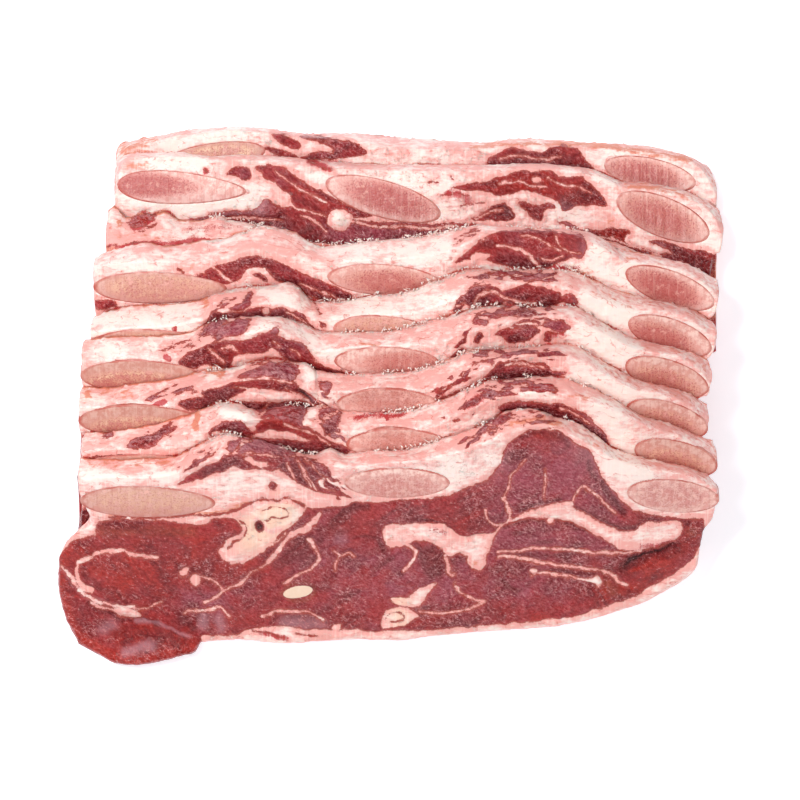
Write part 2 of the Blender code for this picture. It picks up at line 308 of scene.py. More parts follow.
def rounded(points, closed):
    """A polyline through points made smooth: four steps on each segment of a Catmull-Rom curve."""
    points = pairs(points)
    if len(points) < 3:
        return points
    if closed:
        before, after = np.roll(points, 1, 0), np.roll(points, -1, 0)
        beyond, start = np.roll(points, -2, 0), points
    else:
        padded = np.vstack([points[:1], points, points[-1:]])
        before, start, after, beyond = padded[:-3], padded[1:-2], padded[2:-1], padded[3:]
    steps = [
        start + t * (after - before) / 2 + t * t * (before - 2.5 * start + 2 * after - beyond / 2)
        + t**3 * (1.5 * (start - after) + (beyond - before) / 2)
        for t in (0.0, 0.25, 0.5, 0.75)
    ]
    curve = np.stack(steps, 1).reshape(-1, 2)
    return curve if closed else np.vstack([curve, points[-1:]])


def nearness(points, px, py, closed=False, reach=REACH):
    """Distance from each place to the nearest segment, and whether the outline goes round the place."""
    curve = rounded(points, closed)
    low, high = curve.min(0) - reach, curve.max(0) + reach
    near = (px > low[0]) & (px < high[0]) & (py > low[1]) & (py < high[1])
    x, y = px[near], py[near]
    distance, within = np.full(x.shape, reach**2), np.zeros(x.shape, bool)
    ends = np.roll(curve, -1, 0) if closed else curve[1:]
    if len(curve) == 1:
        distance = (x - curve[0, 0]) ** 2 + (y - curve[0, 1]) ** 2
    for (ax, ay), (bx, by) in zip(curve, ends):
        dx, dy = bx - ax, by - ay
        t = np.clip(((x - ax) * dx + (y - ay) * dy) / (dx * dx + dy * dy + 1e-9), 0, 1)
        distance = np.minimum(distance, (x - ax - t * dx) ** 2 + (y - ay - t * dy) ** 2)
        if closed and ay != by:
            within ^= ((ay > y) != (by > y)) & (x < (bx - ax) * (y - ay) / (by - ay) + ax)
    field = np.full(px.shape, reach)
    field[near] = np.sqrt(distance)
    sign = np.zeros(px.shape, bool)
    sign[near] = within
    return field, sign


def region(outline, px, py):
    """Distance inside a closed outline, negative outside it."""
    distance, within = nearness(outline, px, py, closed=True)
    return np.where(within, distance, -distance)


def streak(line, px, py):
    """Distance inside a line of an uneven half width: (half width, points)."""
    half_width, points = line
    return half_width * (1 + 0.45 * noise(px, py, 0 * px, 5.0, 5)) - nearness(points, px, py)[0]


def soft_marks(marks, px, py):
    """The sum of soft lines or spots: amount times exp(-(distance / width) squared)."""
    total = np.zeros_like(px)
    for amount, width, points in marks:
        distance = nearness(points, px, py, reach=2.6 * width)[0]
        total += amount * np.exp(-((distance / width) ** 2)) * (distance < 2.55 * width)
    return total


def turned(px, py, turn):
    """How far a place lies along and across a direction that rises by turn degrees to the right."""
    angle = math.radians(-turn)
    return px * math.cos(angle) + py * math.sin(angle), py * math.cos(angle) - px * math.sin(angle)


def fibres(marks, px, py):
    """Long grain, -1 to 1: noise drawn out along the turn of the nearest mark, and blended between marks."""
    total, weights = np.zeros_like(px), np.full_like(px, 1e-6)
    for k, (turn, width, points) in enumerate([USUAL_FIBRES, *marks]):
        distance = nearness(points, px, py, reach=2.6 * width)[0]
        weight = np.exp(-((distance / width) ** 2)) + (0.02 if k == 0 else 0.0)
        length, across = turned(px, py, turn)
        grain = noise(length / 5, across, 0 * px, 2.9, 31) + 0.7 * noise(length / 4, across, 0 * px, 5.5, 32)
        total += weight * grain
        weights += weight
    return total / weights


def shreds(marks, px, py):
    """Torn streaks of lean where 9 (nearness - 0.55) + 5 noise is above 0; noise drawn out along a turn."""
    lean = np.full(px.shape, -REACH)
    for amount, width, turn, points in marks:
        near = amount * np.exp(-((nearness(points, px, py, reach=2.6 * width)[0] / width) ** 2))
        length, across = turned(px, py, turn)
        torn = noise(length / 3.5, across, 0 * px, 2.3, 33)
        lean = np.maximum(lean, np.where(near > 0.05, 9 * (near - 0.55) + 5 * torn, -REACH))
    return lean


def draw_marks(marks, px, py):
    """All the fields of one slice at places of the picture, in pixels or in shares."""
    bend_x = 1.6 * noise(px, py, 0 * px, 9, 1) + 0.9 * noise(px, py, 0 * px, 4, 2)
    bend_y = 1.2 * noise(px, py, 0 * px, 9, 3) + 0.8 * noise(px, py, 0 * px, 4, 4)
    x, y = px + bend_x, py + bend_y

    def drawn(kind):
        return marks.get(kind, {}).values()

    lean = np.full(px.shape, -REACH)
    for outline in drawn("lean"):
        lean = np.maximum(lean, region(outline, x, y))
    for outline in drawn("fat"):
        lean = np.minimum(lean, -region(outline, x, y))
    for line in drawn("seams"):
        lean = np.minimum(lean, -np.minimum(streak(line, x, y), 0.08 + 0.42 * line[0]))
    for line in drawn("threads"):
        lean = np.maximum(lean, streak(line, x, y))
    lean = np.maximum(lean, shreds(drawn("shreds"), x, y))
    soft = {kind: soft_marks(drawn(kind), x, y) for kind in ("tone", "blood", "brown", "white", "hue", "relief")}
    return {"lean": lean, **soft, "fibre": fibres(drawn("fibres"), x, y)}


# --- What raw beef looks like -----------------------------------------------------------------------
# Cream to pink fat with a fine mottle, deep red lean with short fibres and hair-thin marbling, wet all
# over.  Blood and brown stains lie on the fat; sawn edges carry a pale ragged line.  Pale flecks and a
# mauve film on the lean are painted highlights and sheen, and its deepest tones are painted shadow.

FIELDS = ("lean", "tone", "blood", "brown", "white", "edge", "rim", "hue")


def node_makers(tree, roughness):
    """Object coordinates, and short ways to add a sum, a mix of colours, noise and a soft step."""
    where = shader_node(tree, "TexCoord").outputs["Object"]

    def math(operation, *values):
        return shader_node(tree, "Math", values, operation=operation).outputs[0]

    def mixed(share, one, other):
        return shader_node(tree, "Mix", {0: share, 6: one, 7: other}, data_type="RGBA").outputs[2]

    def rough(scale, detail=3.0, vector=where, roughness=roughness):
        return shader_node(tree, "TexNoise", {"Vector": vector, "Scale": scale, "Detail": detail,
                                              "Roughness": roughness}).outputs[0]

    def eased(value, low, high, start=0.0, end=1.0):
        return shader_node(tree, "MapRange", (value, low, high, start, end),
                           interpolation_type="SMOOTHSTEP").outputs[0]

    return where, math, mixed, rough, eased


def beef_surface():
    """The node group that turns a slice's fields into colour, roughness and height."""
    group = bpy.data.node_groups.new("beef_surface", "ShaderNodeTree")
    for field in FIELDS:
        group.interface.new_socket(field.title(), in_out="INPUT", socket_type="NodeSocketFloat")
    for name, colour in (
        ("Fat Colour", (0.90, 0.64, 0.60, 1)), ("Pink Colour", (0.84, 0.40, 0.365, 1)),
        ("Lean Colour", (0.40, 0.024, 0.028, 1)), ("Dark Colour", (0.13, 0.004, 0.008, 1)),
    ):
        socket = group.interface.new_socket(name, in_out="INPUT", socket_type="NodeSocketColor")
        socket.default_value = colour
    turn = group.interface.new_socket("Turn", in_out="INPUT", socket_type="NodeSocketFloat")
    turn.default_value = 0.6
    for name, kind in (("Color", "Color"), ("Roughness", "Float"), ("Height", "Float")):
        group.interface.new_socket(name, in_out="OUTPUT", socket_type="NodeSocket" + kind)
    given = group.nodes.new("NodeGroupInput").outputs
    where, math, mixed, rough, eased = node_makers(group, 0.55)

    def drawn_out(turn, scale):
        turned = shader_node(group, "VectorRotate", {"Vector": where, "Angle": turn},
                             rotation_type="Z_AXIS").outputs[0]
        return shader_node(group, "Mapping", {"Vector": turned, "Scale": scale}).outputs[0]

    mottle = rough(420.0, 3.0, roughness=0.7)
    fine = rough(1400.0, 2.0, drawn_out(given["Turn"], (1.0, 1.9, 1.9)), 0.65)
    ragged = math("MULTIPLY_ADD", math("SUBTRACT", fine, 0.5), 2.8, given["Lean"])
    ragged = math("MULTIPLY_ADD", math("SUBTRACT", mottle, 0.5), 3.2, ragged)
    streaks = rough(250.0, 3.0, drawn_out(0.0, (1.0, 2.8, 2.8)), 0.65)
    torn = math("MULTIPLY", math("SUBTRACT", streaks, 0.5), math("MULTIPLY_ADD", given["Rim"], 9.0, 1.0))
    ragged = math("ADD", ragged, torn)
    lean = eased(ragged, -0.6, 0.6)

    patches = rough(75.0, 2.0, drawn_out(0.2, (1.0, 2.0, 2.0)))
    pinkness = math("MULTIPLY_ADD", streaks, 1.0, math("MULTIPLY", patches, 1.1))
    pinkness = math("MULTIPLY_ADD", mottle, 0.7, pinkness)
    pinkness = math("MULTIPLY_ADD", given["White"], -0.32, pinkness)
    pinkness = math("MULTIPLY_ADD", math("SUBTRACT", given["Rim"], 0.4), 0.1, pinkness)
    pinkness = math("ADD", pinkness, eased(given["Lean"], -6.0, 0.0, 0.0, 0.28))
    fat = mixed(eased(pinkness, 1.26, 1.60), given["Fat Colour"], given["Pink Colour"])
    fat = mixed(eased(pinkness, 1.34, 1.14, 0.0, 0.85), fat, (0.95, 0.79, 0.735, 1))
    fat = mixed(eased(given["Brown"], -0.1, -0.8, 0.0, 0.85), fat, (0.90, 0.64, 0.49, 1))
    stain = math("MULTIPLY_ADD", given["Brown"], 0.55, math("MULTIPLY_ADD", mottle, 0.5, streaks))
    fat = mixed(eased(stain, 1.02, 1.28, 0.0, 0.85), fat, (0.70, 0.22, 0.13, 1))
    capillary = math("ABSOLUTE", math("SUBTRACT", patches, 0.5))
    capillary = math("MULTIPLY", eased(capillary, 0.001, 0.012, 1.0, 0.0), eased(streaks, 0.42, 0.56, 0.0, 0.6))
    fat = mixed(capillary, fat, (0.60, 0.12, 0.09, 1))
    bleeding = math("MULTIPLY_ADD", given["Blood"], 0.80, math("MULTIPLY_ADD", mottle, 0.6, fine))
    bleeding = math("ADD", bleeding, eased(given["Lean"], -4.5, 0.0, 0.0, 0.20))
    fat = mixed(eased(bleeding, 1.10, 1.42, 0.0, 0.95), fat, (0.47, 0.022, 0.030, 1))
    cut_face = math("SUBTRACT", 1.0, given["Rim"])
    saw = rough(1300.0, 1.0, drawn_out(0.0, (1.0, 0.05, 0.05)))
    fat = mixed(math("MULTIPLY", eased(saw, 0.5, 0.72, 0.0, 0.3), cut_face), fat, (0.97, 0.86, 0.80, 1))
    # Pale crumbs along the rim's far edge and a fainter painted highlight along its near edge, both from Edge.
    crumbs = math("MULTIPLY_ADD", given["Edge"], 0.30, math("MULTIPLY_ADD", fine, 0.8, mottle))
    crumbs = eased(crumbs, 1.14, 1.34)
    fat = mixed(crumbs, fat, (0.95, 0.85, 0.79, 1))

    clouds = rough(70.0, 2.0)
    wobble = shader_node(group, "TexNoise", {"Vector": where, "Scale": 150.0, "Detail": 2.0}).outputs["Color"]
    bent = shader_node(group, "VectorMath", (wobble, (0.010, 0.010, 0.010), where),
                       operation="MULTIPLY_ADD").outputs[0]
    bundle = shader_node(group, "TexVoronoi", {"Vector": bent, "Scale": 150.0}).outputs["Color"]
    bundle = math("SUBTRACT", shader_node(group, "SeparateColor", {0: bundle}).outputs[0], 0.5)
    hue = math("MULTIPLY_ADD", bundle, 0.55, given["Hue"])
    # Tone darkens the lean: its own darker muscle, and painted shade in creases, gaps and recesses.
    depth = math("MULTIPLY_ADD", clouds, 2.8, math("SUBTRACT", given["Tone"], 1.05))
    grain = rough(600.0, 2.0, drawn_out(given["Turn"], (1.0, 1.9, 1.9)), 0.7)
    depth = math("MULTIPLY_ADD", mottle, 0.9, math("MULTIPLY_ADD", bundle, 0.3, depth))
    meat = mixed(eased(hue, 0.0, 1.0, 0.0, 0.85), given["Lean Colour"], (0.36, 0.052, 0.090, 1))
    meat = mixed(eased(hue, 0.0, -1.0, 0.0, 0.85), meat, (0.47, 0.026, 0.014, 1))
    meat = mixed(eased(given["Brown"], 0.1, 1.2, 0.0, 0.75), meat, (0.40, 0.12, 0.055, 1))
    meat = mixed(eased(depth, 0.15, 1.90), meat, given["Dark Colour"])
    ridge = mixed(eased(given["Hue"], -0.6, 0.7), (0.55, 0.07, 0.06, 1), (0.60, 0.22, 0.24, 1))
    meat = mixed(eased(grain, 0.42, 0.58), mixed(0.38, meat, given["Dark Colour"]), mixed(0.22, meat, ridge))
    film = math("MULTIPLY", eased(streaks, 0.44, 0.60, 0.0, 0.6), given["Rim"])
    meat = mixed(film, meat, (0.60, 0.26, 0.28, 1))
    # Near black where the tone is deepest: painted shadow in the gaps, the hole and the gash.
    meat = mixed(eased(given["Tone"], 1.7, 2.9), meat, (0.02, 0.001, 0.002, 1))
    # White on the lean lays a pale mauve film: painted sheen and reflections of the wet surface.
    meat = mixed(math("MULTIPLY", given["White"], 0.62), meat, (0.62, 0.31, 0.36, 1))
    web = math("ABSOLUTE", math("SUBTRACT", rough(260.0, 2.0), 0.5))
    web = math("MULTIPLY", eased(web, 0.003, 0.020, 0.5, 0.0), eased(clouds, 0.42, 0.60))
    meat = mixed(web, meat, (0.68, 0.27, 0.27, 1))
    crinkle = math("ABSOLUTE", math("SUBTRACT", rough(600.0, 1.0, drawn_out(given["Turn"], (1.0, 1.5, 1.5))), 0.5))
    crinkle = eased(crinkle, 0.0, 0.045, 1.0, 0.0)
    meat = mixed(math("MULTIPLY", crinkle, 0.30), meat, ridge)
    # Pale flecks on the lean: painted highlights of the wet surface.
    flecks = math("MULTIPLY_ADD", fine, 0.45, math("MULTIPLY_ADD", clouds, 0.35, grain))
    meat = mixed(eased(flecks, 1.01, 1.15, 0.0, 0.6), meat, (0.78, 0.42, 0.42, 1))
    rim_of_fat = math("MULTIPLY", eased(ragged, 2.8, 0.2, 0.0, 0.55), lean)
    rim_colour = mixed(eased(patches, 0.50, 0.60, 0.0, 0.35), (0.54, 0.12, 0.105, 1), (0.17, 0.006, 0.010, 1))
    meat = mixed(rim_of_fat, meat, rim_colour)
    meat = mixed(eased(given["Lean"], 1.5, 0.5, 0.0, 0.8), meat, (0.42, 0.065, 0.045, 1))

    ends = group.nodes.new("NodeGroupOutput").inputs
    group.links.new(mixed(lean, fat, meat), ends["Color"])
    damp = shader_node(group, "Mix", {0: lean, 2: math("MULTIPLY_ADD", mottle, 0.4, 0.25),
                                      3: math("MULTIPLY_ADD", clouds, 0.30, 0.03)}).outputs[0]
    group.links.new(damp, ends["Roughness"])
    wet = math("MULTIPLY_ADD", grain, 1.2, math("MULTIPLY_ADD", mottle, 1.2, math("MULTIPLY", crinkle, 0.2)))
    soft = math("MULTIPLY_ADD", mottle, 0.4, math("MULTIPLY_ADD", streaks, 0.4, math("MULTIPLY", crumbs, 0.5)))
    soft = math("ADD", math("MULTIPLY_ADD", math("MULTIPLY", saw, cut_face), 0.12, soft), 0.75)
    height = shader_node(group, "Mix", {0: lean, 2: soft, 3: wet}).outputs[0]
    group.links.new(height, ends["Height"])
    return group


BEEF = beef_surface()


def see_through_finish(name, weight, radius, scale):
    """A finish into which light sinks a little: its material, its node tree and its shader."""
    finish = bpy.data.materials.new(name)
    finish.use_nodes = True
    shader = finish.node_tree.nodes["Principled BSDF"]
    shader.inputs["Subsurface Weight"].default_value = weight
    shader.inputs["Subsurface Radius"].default_value = radius
    shader.inputs["Subsurface Scale"].default_value = scale
    return finish, finish.node_tree, shader


def kept(tree, field):
    """The values of a field that a mesh keeps, as a node's output."""
    return shader_node(tree, "Attribute", attribute_name=field).outputs["Fac"]


def beef_material(name):
    """The beef group fed by a slice's fields, under a wet shader."""
    finish, tree, shader = see_through_finish(name, 0.35, (1.0, 0.5, 0.4), 0.0006)
    group = tree.nodes.new("ShaderNodeGroup")
    group.node_tree = BEEF
    for field in FIELDS:
        tree.links.new(kept(tree, field), group.inputs[field.title()])
    bump = shader_node(tree, "Bump", {"Strength": 1.0, "Distance": 0.0007, "Height": group.outputs["Height"]})
    tree.links.new(group.outputs["Color"], shader.inputs["Base Color"])
    tree.links.new(group.outputs["Roughness"], shader.inputs["Roughness"])
    tree.links.new(bump.outputs[0], shader.inputs["Normal"])
    shader.inputs["Specular IOR Level"].default_value = 0.28
    return finish


# --- How a slice is made ----------------------------------------------------------------------------
# Sawn clean through meat and bone, then left to sag.  The mesh is a fine front face, a rim of rings
# round its border that bulges a little, and a coarse back that nothing but the next slice sees.

COLUMNS = 449
STEP_GROWTH, LONGEST_STEP = 1.28, 5.0
BACK_STEP = 4            # one column and row of the back to this many of the front
RIM_RINGS = 14
RIM_BULGE = 0.9
FRONT_LENGTH = 63.0      # millimetres down the middle of the front slice
FRONT_FEET = (-91.0, -60.0)      # Y of its foot at the left and at the right
FRONT_FOOT_HEIGHT = 6.5
PALE_ENDS = ((215, 190), (555, 590))       # pixels over which the pale edge lines, crumbs and painted highlight, fade to the left and right


def shares_down(length, visible, spacing):
    """Shares of the way down a face: even spacing over the visible part, growing steps below it."""
    dense = np.arange(0, min(visible, length - spacing), spacing)
    steps = spacing * STEP_GROWTH ** np.arange(1, 40)
    below = dense[-1] + np.cumsum(np.minimum(steps, LONGEST_STEP))
    below = below[below < length - 2.0]
    places = np.concatenate([dense, below, [length]])
    spare = (-(len(places) - 1)) % BACK_STEP
    extra = np.linspace(places[-2], length, spare + 2)[1:-1]
    return np.concatenate([places[:-1], extra, places[-1:]]) / length


def border(grid):
    """The outer ring of a grid, once round: along the top, down the right, back and up the left."""
    return np.concatenate([grid[0, :-1], grid[:-1, -1], grid[-1, :0:-1], grid[:0:-1, 0]])


def oval_place(name, oval):
    """Centre in millimetres, cosine of the lean there, and half sizes in the plane of the face."""
    px, py, half_length, half_height, turn, taper = oval
    z = MID_HEIGHT
    for _ in range(4):
        scale = picture_place(0.0, 0.0, z)[2]
        x, y = place_under(px, py, scale)
        z = float(front_height(name, x, y))
    lean = float(cosine(name, x, y))
    return x, y, lean, half_length / scale, half_height / scale / lean, math.radians(-turn), taper


def narrowed(taper, u):
    """The share of an oval's height left at a share u of its half length to the right."""
    return np.clip(1 - taper * u, 0.3, 2.0)


def oval_reach(place, x, y):
    """0 at the centre of an oval and 1 on its outline, narrower to the right by its taper."""
    cx, cy, lean, half_length, half_height, turn, taper = place
    dx, dy = x - cx, (y - cy) / lean
    u = (dx * math.cos(turn) + dy * math.sin(turn)) / half_length
    w = (dy * math.cos(turn) - dx * math.sin(turn)) / half_height
    return np.sqrt(u * u + (w / narrowed(taper, u)) ** 2)


def closed_slice(front, back):
    """Vertices and faces of one skin: front grid, rim rings, and a coarse back stitched to them.

    A ring lies at a share t from front to back and stands out by bulge * (1 - |2t - 1| ** 2.6).
    """
    rows, count = front.shape[:2]
    ring, far = border(front), border(back)
    around = np.roll(ring, -3, 0) - np.roll(ring, 3, 0)
    outward = np.cross(around, far - ring)
    outward /= np.linalg.norm(outward, axis=1, keepdims=True)
    shares = (np.arange(1, RIM_RINGS) / RIM_RINGS)[:, None, None]
    rings = ring + (far - ring) * shares + outward * RIM_BULGE * (1 - np.abs(2 * shares - 1) ** 2.6)
    coarse = back[::BACK_STEP, ::BACK_STEP]
    points = np.concatenate([front.reshape(-1, 3), rings.reshape(-1, 3), coarse.reshape(-1, 3)])

    index = np.arange(rows * count).reshape(rows, count)
    quads = [np.stack([index[:-1, :-1], index[1:, :-1], index[1:, 1:], index[:-1, 1:]], -1).reshape(-1, 4)]
    size = len(ring)
    loops = [border(index)] + [rows * count + k * size + np.arange(size) for k in range(RIM_RINGS - 1)]
    for one, other in zip(loops, loops[1:]):
        quads.append(np.stack([one, np.roll(one, -1), np.roll(other, -1), other], -1))
    first = rows * count + (RIM_RINGS - 1) * size
    index = first + np.arange(coarse.shape[0] * coarse.shape[1]).reshape(coarse.shape[:2])
    quads.append(np.stack([index[:-1, :-1], index[:-1, 1:], index[1:, 1:], index[1:, :-1]], -1).reshape(-1, 4))
    last, far_loop = loops[-1], border(index)
    here = ((np.arange(size) + BACK_STEP // 2) // BACK_STEP) % len(far_loop)
    there = np.roll(here, -1)
    triangles = np.stack([last, np.roll(last, -1), far_loop[here]], -1)
    extra = np.stack([np.roll(last, -1), far_loop[there], far_loop[here]], -1)[here != there]
    return points, quads + [triangles, extra], shares[:, 0, 0]


def put_points(mesh, points):
    """Gives a mesh its points in metres, moved to the middle of the pile's box."""
    mesh.vertices.foreach_set("co", ((points + np.array([*CENTRE, 0.0])) / 1000).astype(np.float32).ravel())


def new_mesh(name, points, face_lists):
    """A smooth mesh object from points in millimetres and arrays of faces with as many corners."""
    mesh = bpy.data.meshes.new(name)
    sizes = np.concatenate([np.full(len(faces), faces.shape[1]) for faces in face_lists])
    corners = np.concatenate([faces.reshape(-1) for faces in face_lists])
    mesh.vertices.add(len(points))
    mesh.loops.add(len(corners))
    mesh.polygons.add(len(sizes))
    put_points(mesh, points)
    mesh.loops.foreach_set("vertex_index", corners.astype(np.int32))
    mesh.polygons.foreach_set("loop_start", np.concatenate([[0], np.cumsum(sizes)[:-1]]).astype(np.int32))
    mesh.polygons.foreach_set("use_smooth", np.ones(len(sizes), bool))
    mesh.update(calc_edges=True)
    made = bpy.data.objects.new(name, mesh)
    bpy.context.scene.collection.objects.link(made)
    return made


def vertex_normals(mesh):
    """One unit vector per vertex, square to the skin."""
    normals = np.empty(len(mesh.vertices) * 3, np.float32)
    mesh.vertex_normals.foreach_get("vector", normals)
    return normals.reshape(-1, 3)


def keep_field(mesh, name, values):
    """Keeps one number per vertex for the material to read."""
    mesh.attributes.new(name, "FLOAT", "POINT").data.foreach_set("value", values.astype(np.float32))


def side_from_picture(name, outline, y):
    """X of a side that the picture shows as outline, at each Y down it."""
    across, down = pairs(outline).T
    x = np.zeros_like(y)
    for _ in range(3):
        _, py, scale = picture_place(x, y, front_height(name, x, y))
        x = place_under(along(down, across, py), py, scale)[0]
    return x


def slice_faces(name, ridge, back_edge, left, right, visible, spacing, outlines):
    """Grids of the front and back faces, row by row from the top edge to the foot."""
    length = FRONT_LENGTH if name == FRONT else SHEETS[name][1] - SHEETS[name][0]
    shares = shares_down(length, visible, spacing)[:, None]
    grids = []
    for edge, height, inset in ((ridge, front_height, 0.0), (back_edge, back_height, BACK_INSET)):
        if outlines:
            tops = [edge_from_picture(name, edge, np.array([end]), height) for end in (left, right)]
            rows = [top + (foot - top) * shares[:, 0] for top, foot in zip(tops, FRONT_FEET)]
            start = side_from_picture(name, outlines["left"], rows[0])[:, None] + inset
            end = side_from_picture(name, outlines["right"], rows[1])[:, None] - inset
        else:
            start = left + along(SIDE_DEPTHS, LEFT_SIDE, shares) * HIDDEN_LEFT + inset
            end = right + along(SIDE_DEPTHS, RIGHT_SIDE, shares) * RIGHT_SHARES.get(name, 1.0) - inset
        x = start + (end - start) * np.linspace(0, 1, COLUMNS)
        top = edge_from_picture(name, edge, x, height)
        foot = lower_edge(name, x)
        if outlines:
            foot = edge_from_picture(name, outlines["foot"], x, lambda *_: FRONT_FOOT_HEIGHT)
        y = top + (foot + inset - top) * shares
        grids.append(np.stack([x, y, height(name, x, y)], -1))
    return grids


def peak(values, middle, width):
    """A bell: exp(-((value - middle) / width) squared)."""
    return np.exp(-(((values - middle) / width) ** 2))


def edge_stains_and_painted_light(fields, across, px):
    """The sawn rim by its share from front to back: pale crumbs at the far edge, a fainter painted highlight at the
    near one, brown stain on the rim, and brown painted crease shade at the far edge.
    """
    # The far-edge term is crumbs; the fainter near-edge term is a painted highlight along the ridge.
    fields["edge"] = peak(across, 0.88, 0.09) + 0.45 * peak(across, 0.02, 0.06)
    fields["rim"] = smooth(0.0, 0.12, across)
    clean = smooth(*PALE_ENDS[1], px) + smooth(*PALE_ENDS[0], px)
    fields["edge"] *= 1 - 0.9 * clean
    fields["brown"] += fields["rim"] * (0.34 * smooth(560, 600, px) + 0.12)
    # Brown where the rim goes down into the crease at its far edge: painted shade.
    fields["brown"] += (1.3 * clean + 0.7) * peak(across, 1.0, 0.06)


def shade_and_stain_crease(fields, name, x, y, z):
    """Painted shadow, and brown and blood that are partly pooled blood and partly painted shade, where the next
    slice over this one meets it, fading within a millimetre.
    """
    over = SLICE_NAMES[SLICE_NAMES.index(name) + 1]
    crease = np.maximum(y - edge_from_picture(over, back_edges[over], x, back_height), 0.0)
    patchy = 0.6 + 0.6 * noise(x, y, z, 5.0, 16)
    # Painted shadow: the tone darkens the lean just above the crease.
    fields["tone"] += 0.8 * peak(crease, 0.0, 1.4)
    fields["brown"] += 1.3 * patchy * peak(crease, 0.0, 1.1)
    fields["blood"] += 0.9 * patchy * peak(crease, 0.0, 0.9)


def skin_rise(fields, across, x, y, z):
    """How far the skin stands out: lumps, domed lean, ragged far edge, fibres, less where it is dark."""
    lumps = 0.22 * noise(x, y, z, 4.0, 11) + 0.16 * noise(x, y, z, 1.7, 12) + 0.07 * noise(x, y, z, 0.8, 13)
    dome = 0.45 * smooth(0.0, 9.0, fields["lean"]) - 0.22 * peak(fields["lean"], 0.0, 1.3)
    ragged = 0.9 * np.maximum(noise(x, y, z, 1.1, 14), 0.0) * peak(across, 1.0, 0.16)
    meaty = smooth(-1.0, 2.0, fields["lean"])
    rise = lumps + dome + ragged + fields.pop("relief") + 0.17 * fields["fibre"] * meaty
    return rise - 0.40 * np.clip(fields["tone"], 0.0, 2.6)


def sink_for_bone(rise, name, oval, x, y, across):
    """A recess with a steep wall inside the oval, three quarters of the slice deep."""
    place = oval_place(name, oval)
    reach = oval_reach(place, x, y)
    thick = float(front_height(name, *place[:2]) - back_height(name, np.array(place[0]), np.array(place[1])))
    wall = smooth(1.0, 1.0 - 1.3 / place[4], reach)
    sunk = rise * (1 - smooth(1.5, 1.1, reach) * 0.7) - 0.75 * thick * place[2] * wall
    return np.where(across < 0.02, sunk, rise)


back_edges = {}


def add_slice(name, finish, marks, ends, visible, ridge, back_edge, ovals, looks, spacing=0.42, outlines=None):
    """One slice: its skin, a recess round each bone, its fields, and a surface worked by noise."""
    back_edges[name] = back_edge
    front, back = slice_faces(name, ridge, back_edge, *ends, visible, spacing, outlines)
    points, faces, shares = closed_slice(front, back)
    made = new_mesh(name.replace("slice", "meat"), points, faces)
    mesh = made.data
    x, y, z = points.T
    px, py, _ = picture_place(x, y, z)
    fields = draw_marks(marks, px, py)
    if name != FRONT:
        below = edge_from_picture(name, ridge, x, front_height) - y
        at = edge_from_picture(FRONT, FRONT_RIDGE, x, front_height) - below
        under = draw_marks(FRONT_MARKS, *picture_place(x, at, front_height(FRONT, x, at))[:2])
        share = smooth(visible - 1.0, visible + 1.0, below)
        fields = {key: values * (1 - share) + under[key] * share for key, values in fields.items()}

    across = np.zeros(len(points))
    start, size = front.shape[0] * front.shape[1], len(border(front))
    across[start:start + size * len(shares)] = np.repeat(shares, size)
    across[start + size * len(shares):] = 1.0
    edge_stains_and_painted_light(fields, across, px)
    if name != FRONT:
        shade_and_stain_crease(fields, name, x, y, z)
    rise = skin_rise(fields, across, x, y, z)
    fields["tone"] += 0.55 * fields.pop("fibre")
    fields["hue"] += 0.35 * noise(x, y, z, 9.0, 15) + 0.25 * noise(x, y, z, 3.5, 17)
    for oval in ovals:
        rise = sink_for_bone(rise, name, oval, x, y, across)
    put_points(mesh, points + vertex_normals(mesh) * rise[:, None])
    mesh.update()
    for key, values in fields.items():
        keep_field(mesh, key, values)
    mesh.materials.append(finish)
    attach(made, "root")
    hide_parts(name)
    for column, oval, look in zip(BONE_COLUMNS, ovals, looks):
        ending = name[-1] + "_" + column
        add_plug("rib_" + ending, "bone_" + ending, name, oval, BONE, "bone", *look)


# --- The sawn rib bones -----------------------------------------------------------------------------
# Each slice cuts three ribs across at a slant, so they show as long ovals: a thin dark skin, a pale
# hard rim and a spongy core with red pores, all combed by the saw.  One closed plug fills its recess.

BONE_COLUMNS = ("left", "middle", "right")
BONE_SECTORS = 120
BONE_RINGS = np.concatenate([np.linspace(0.0, 0.9, 22), [0.93, 0.955, 0.975, 0.99, 1.0]])


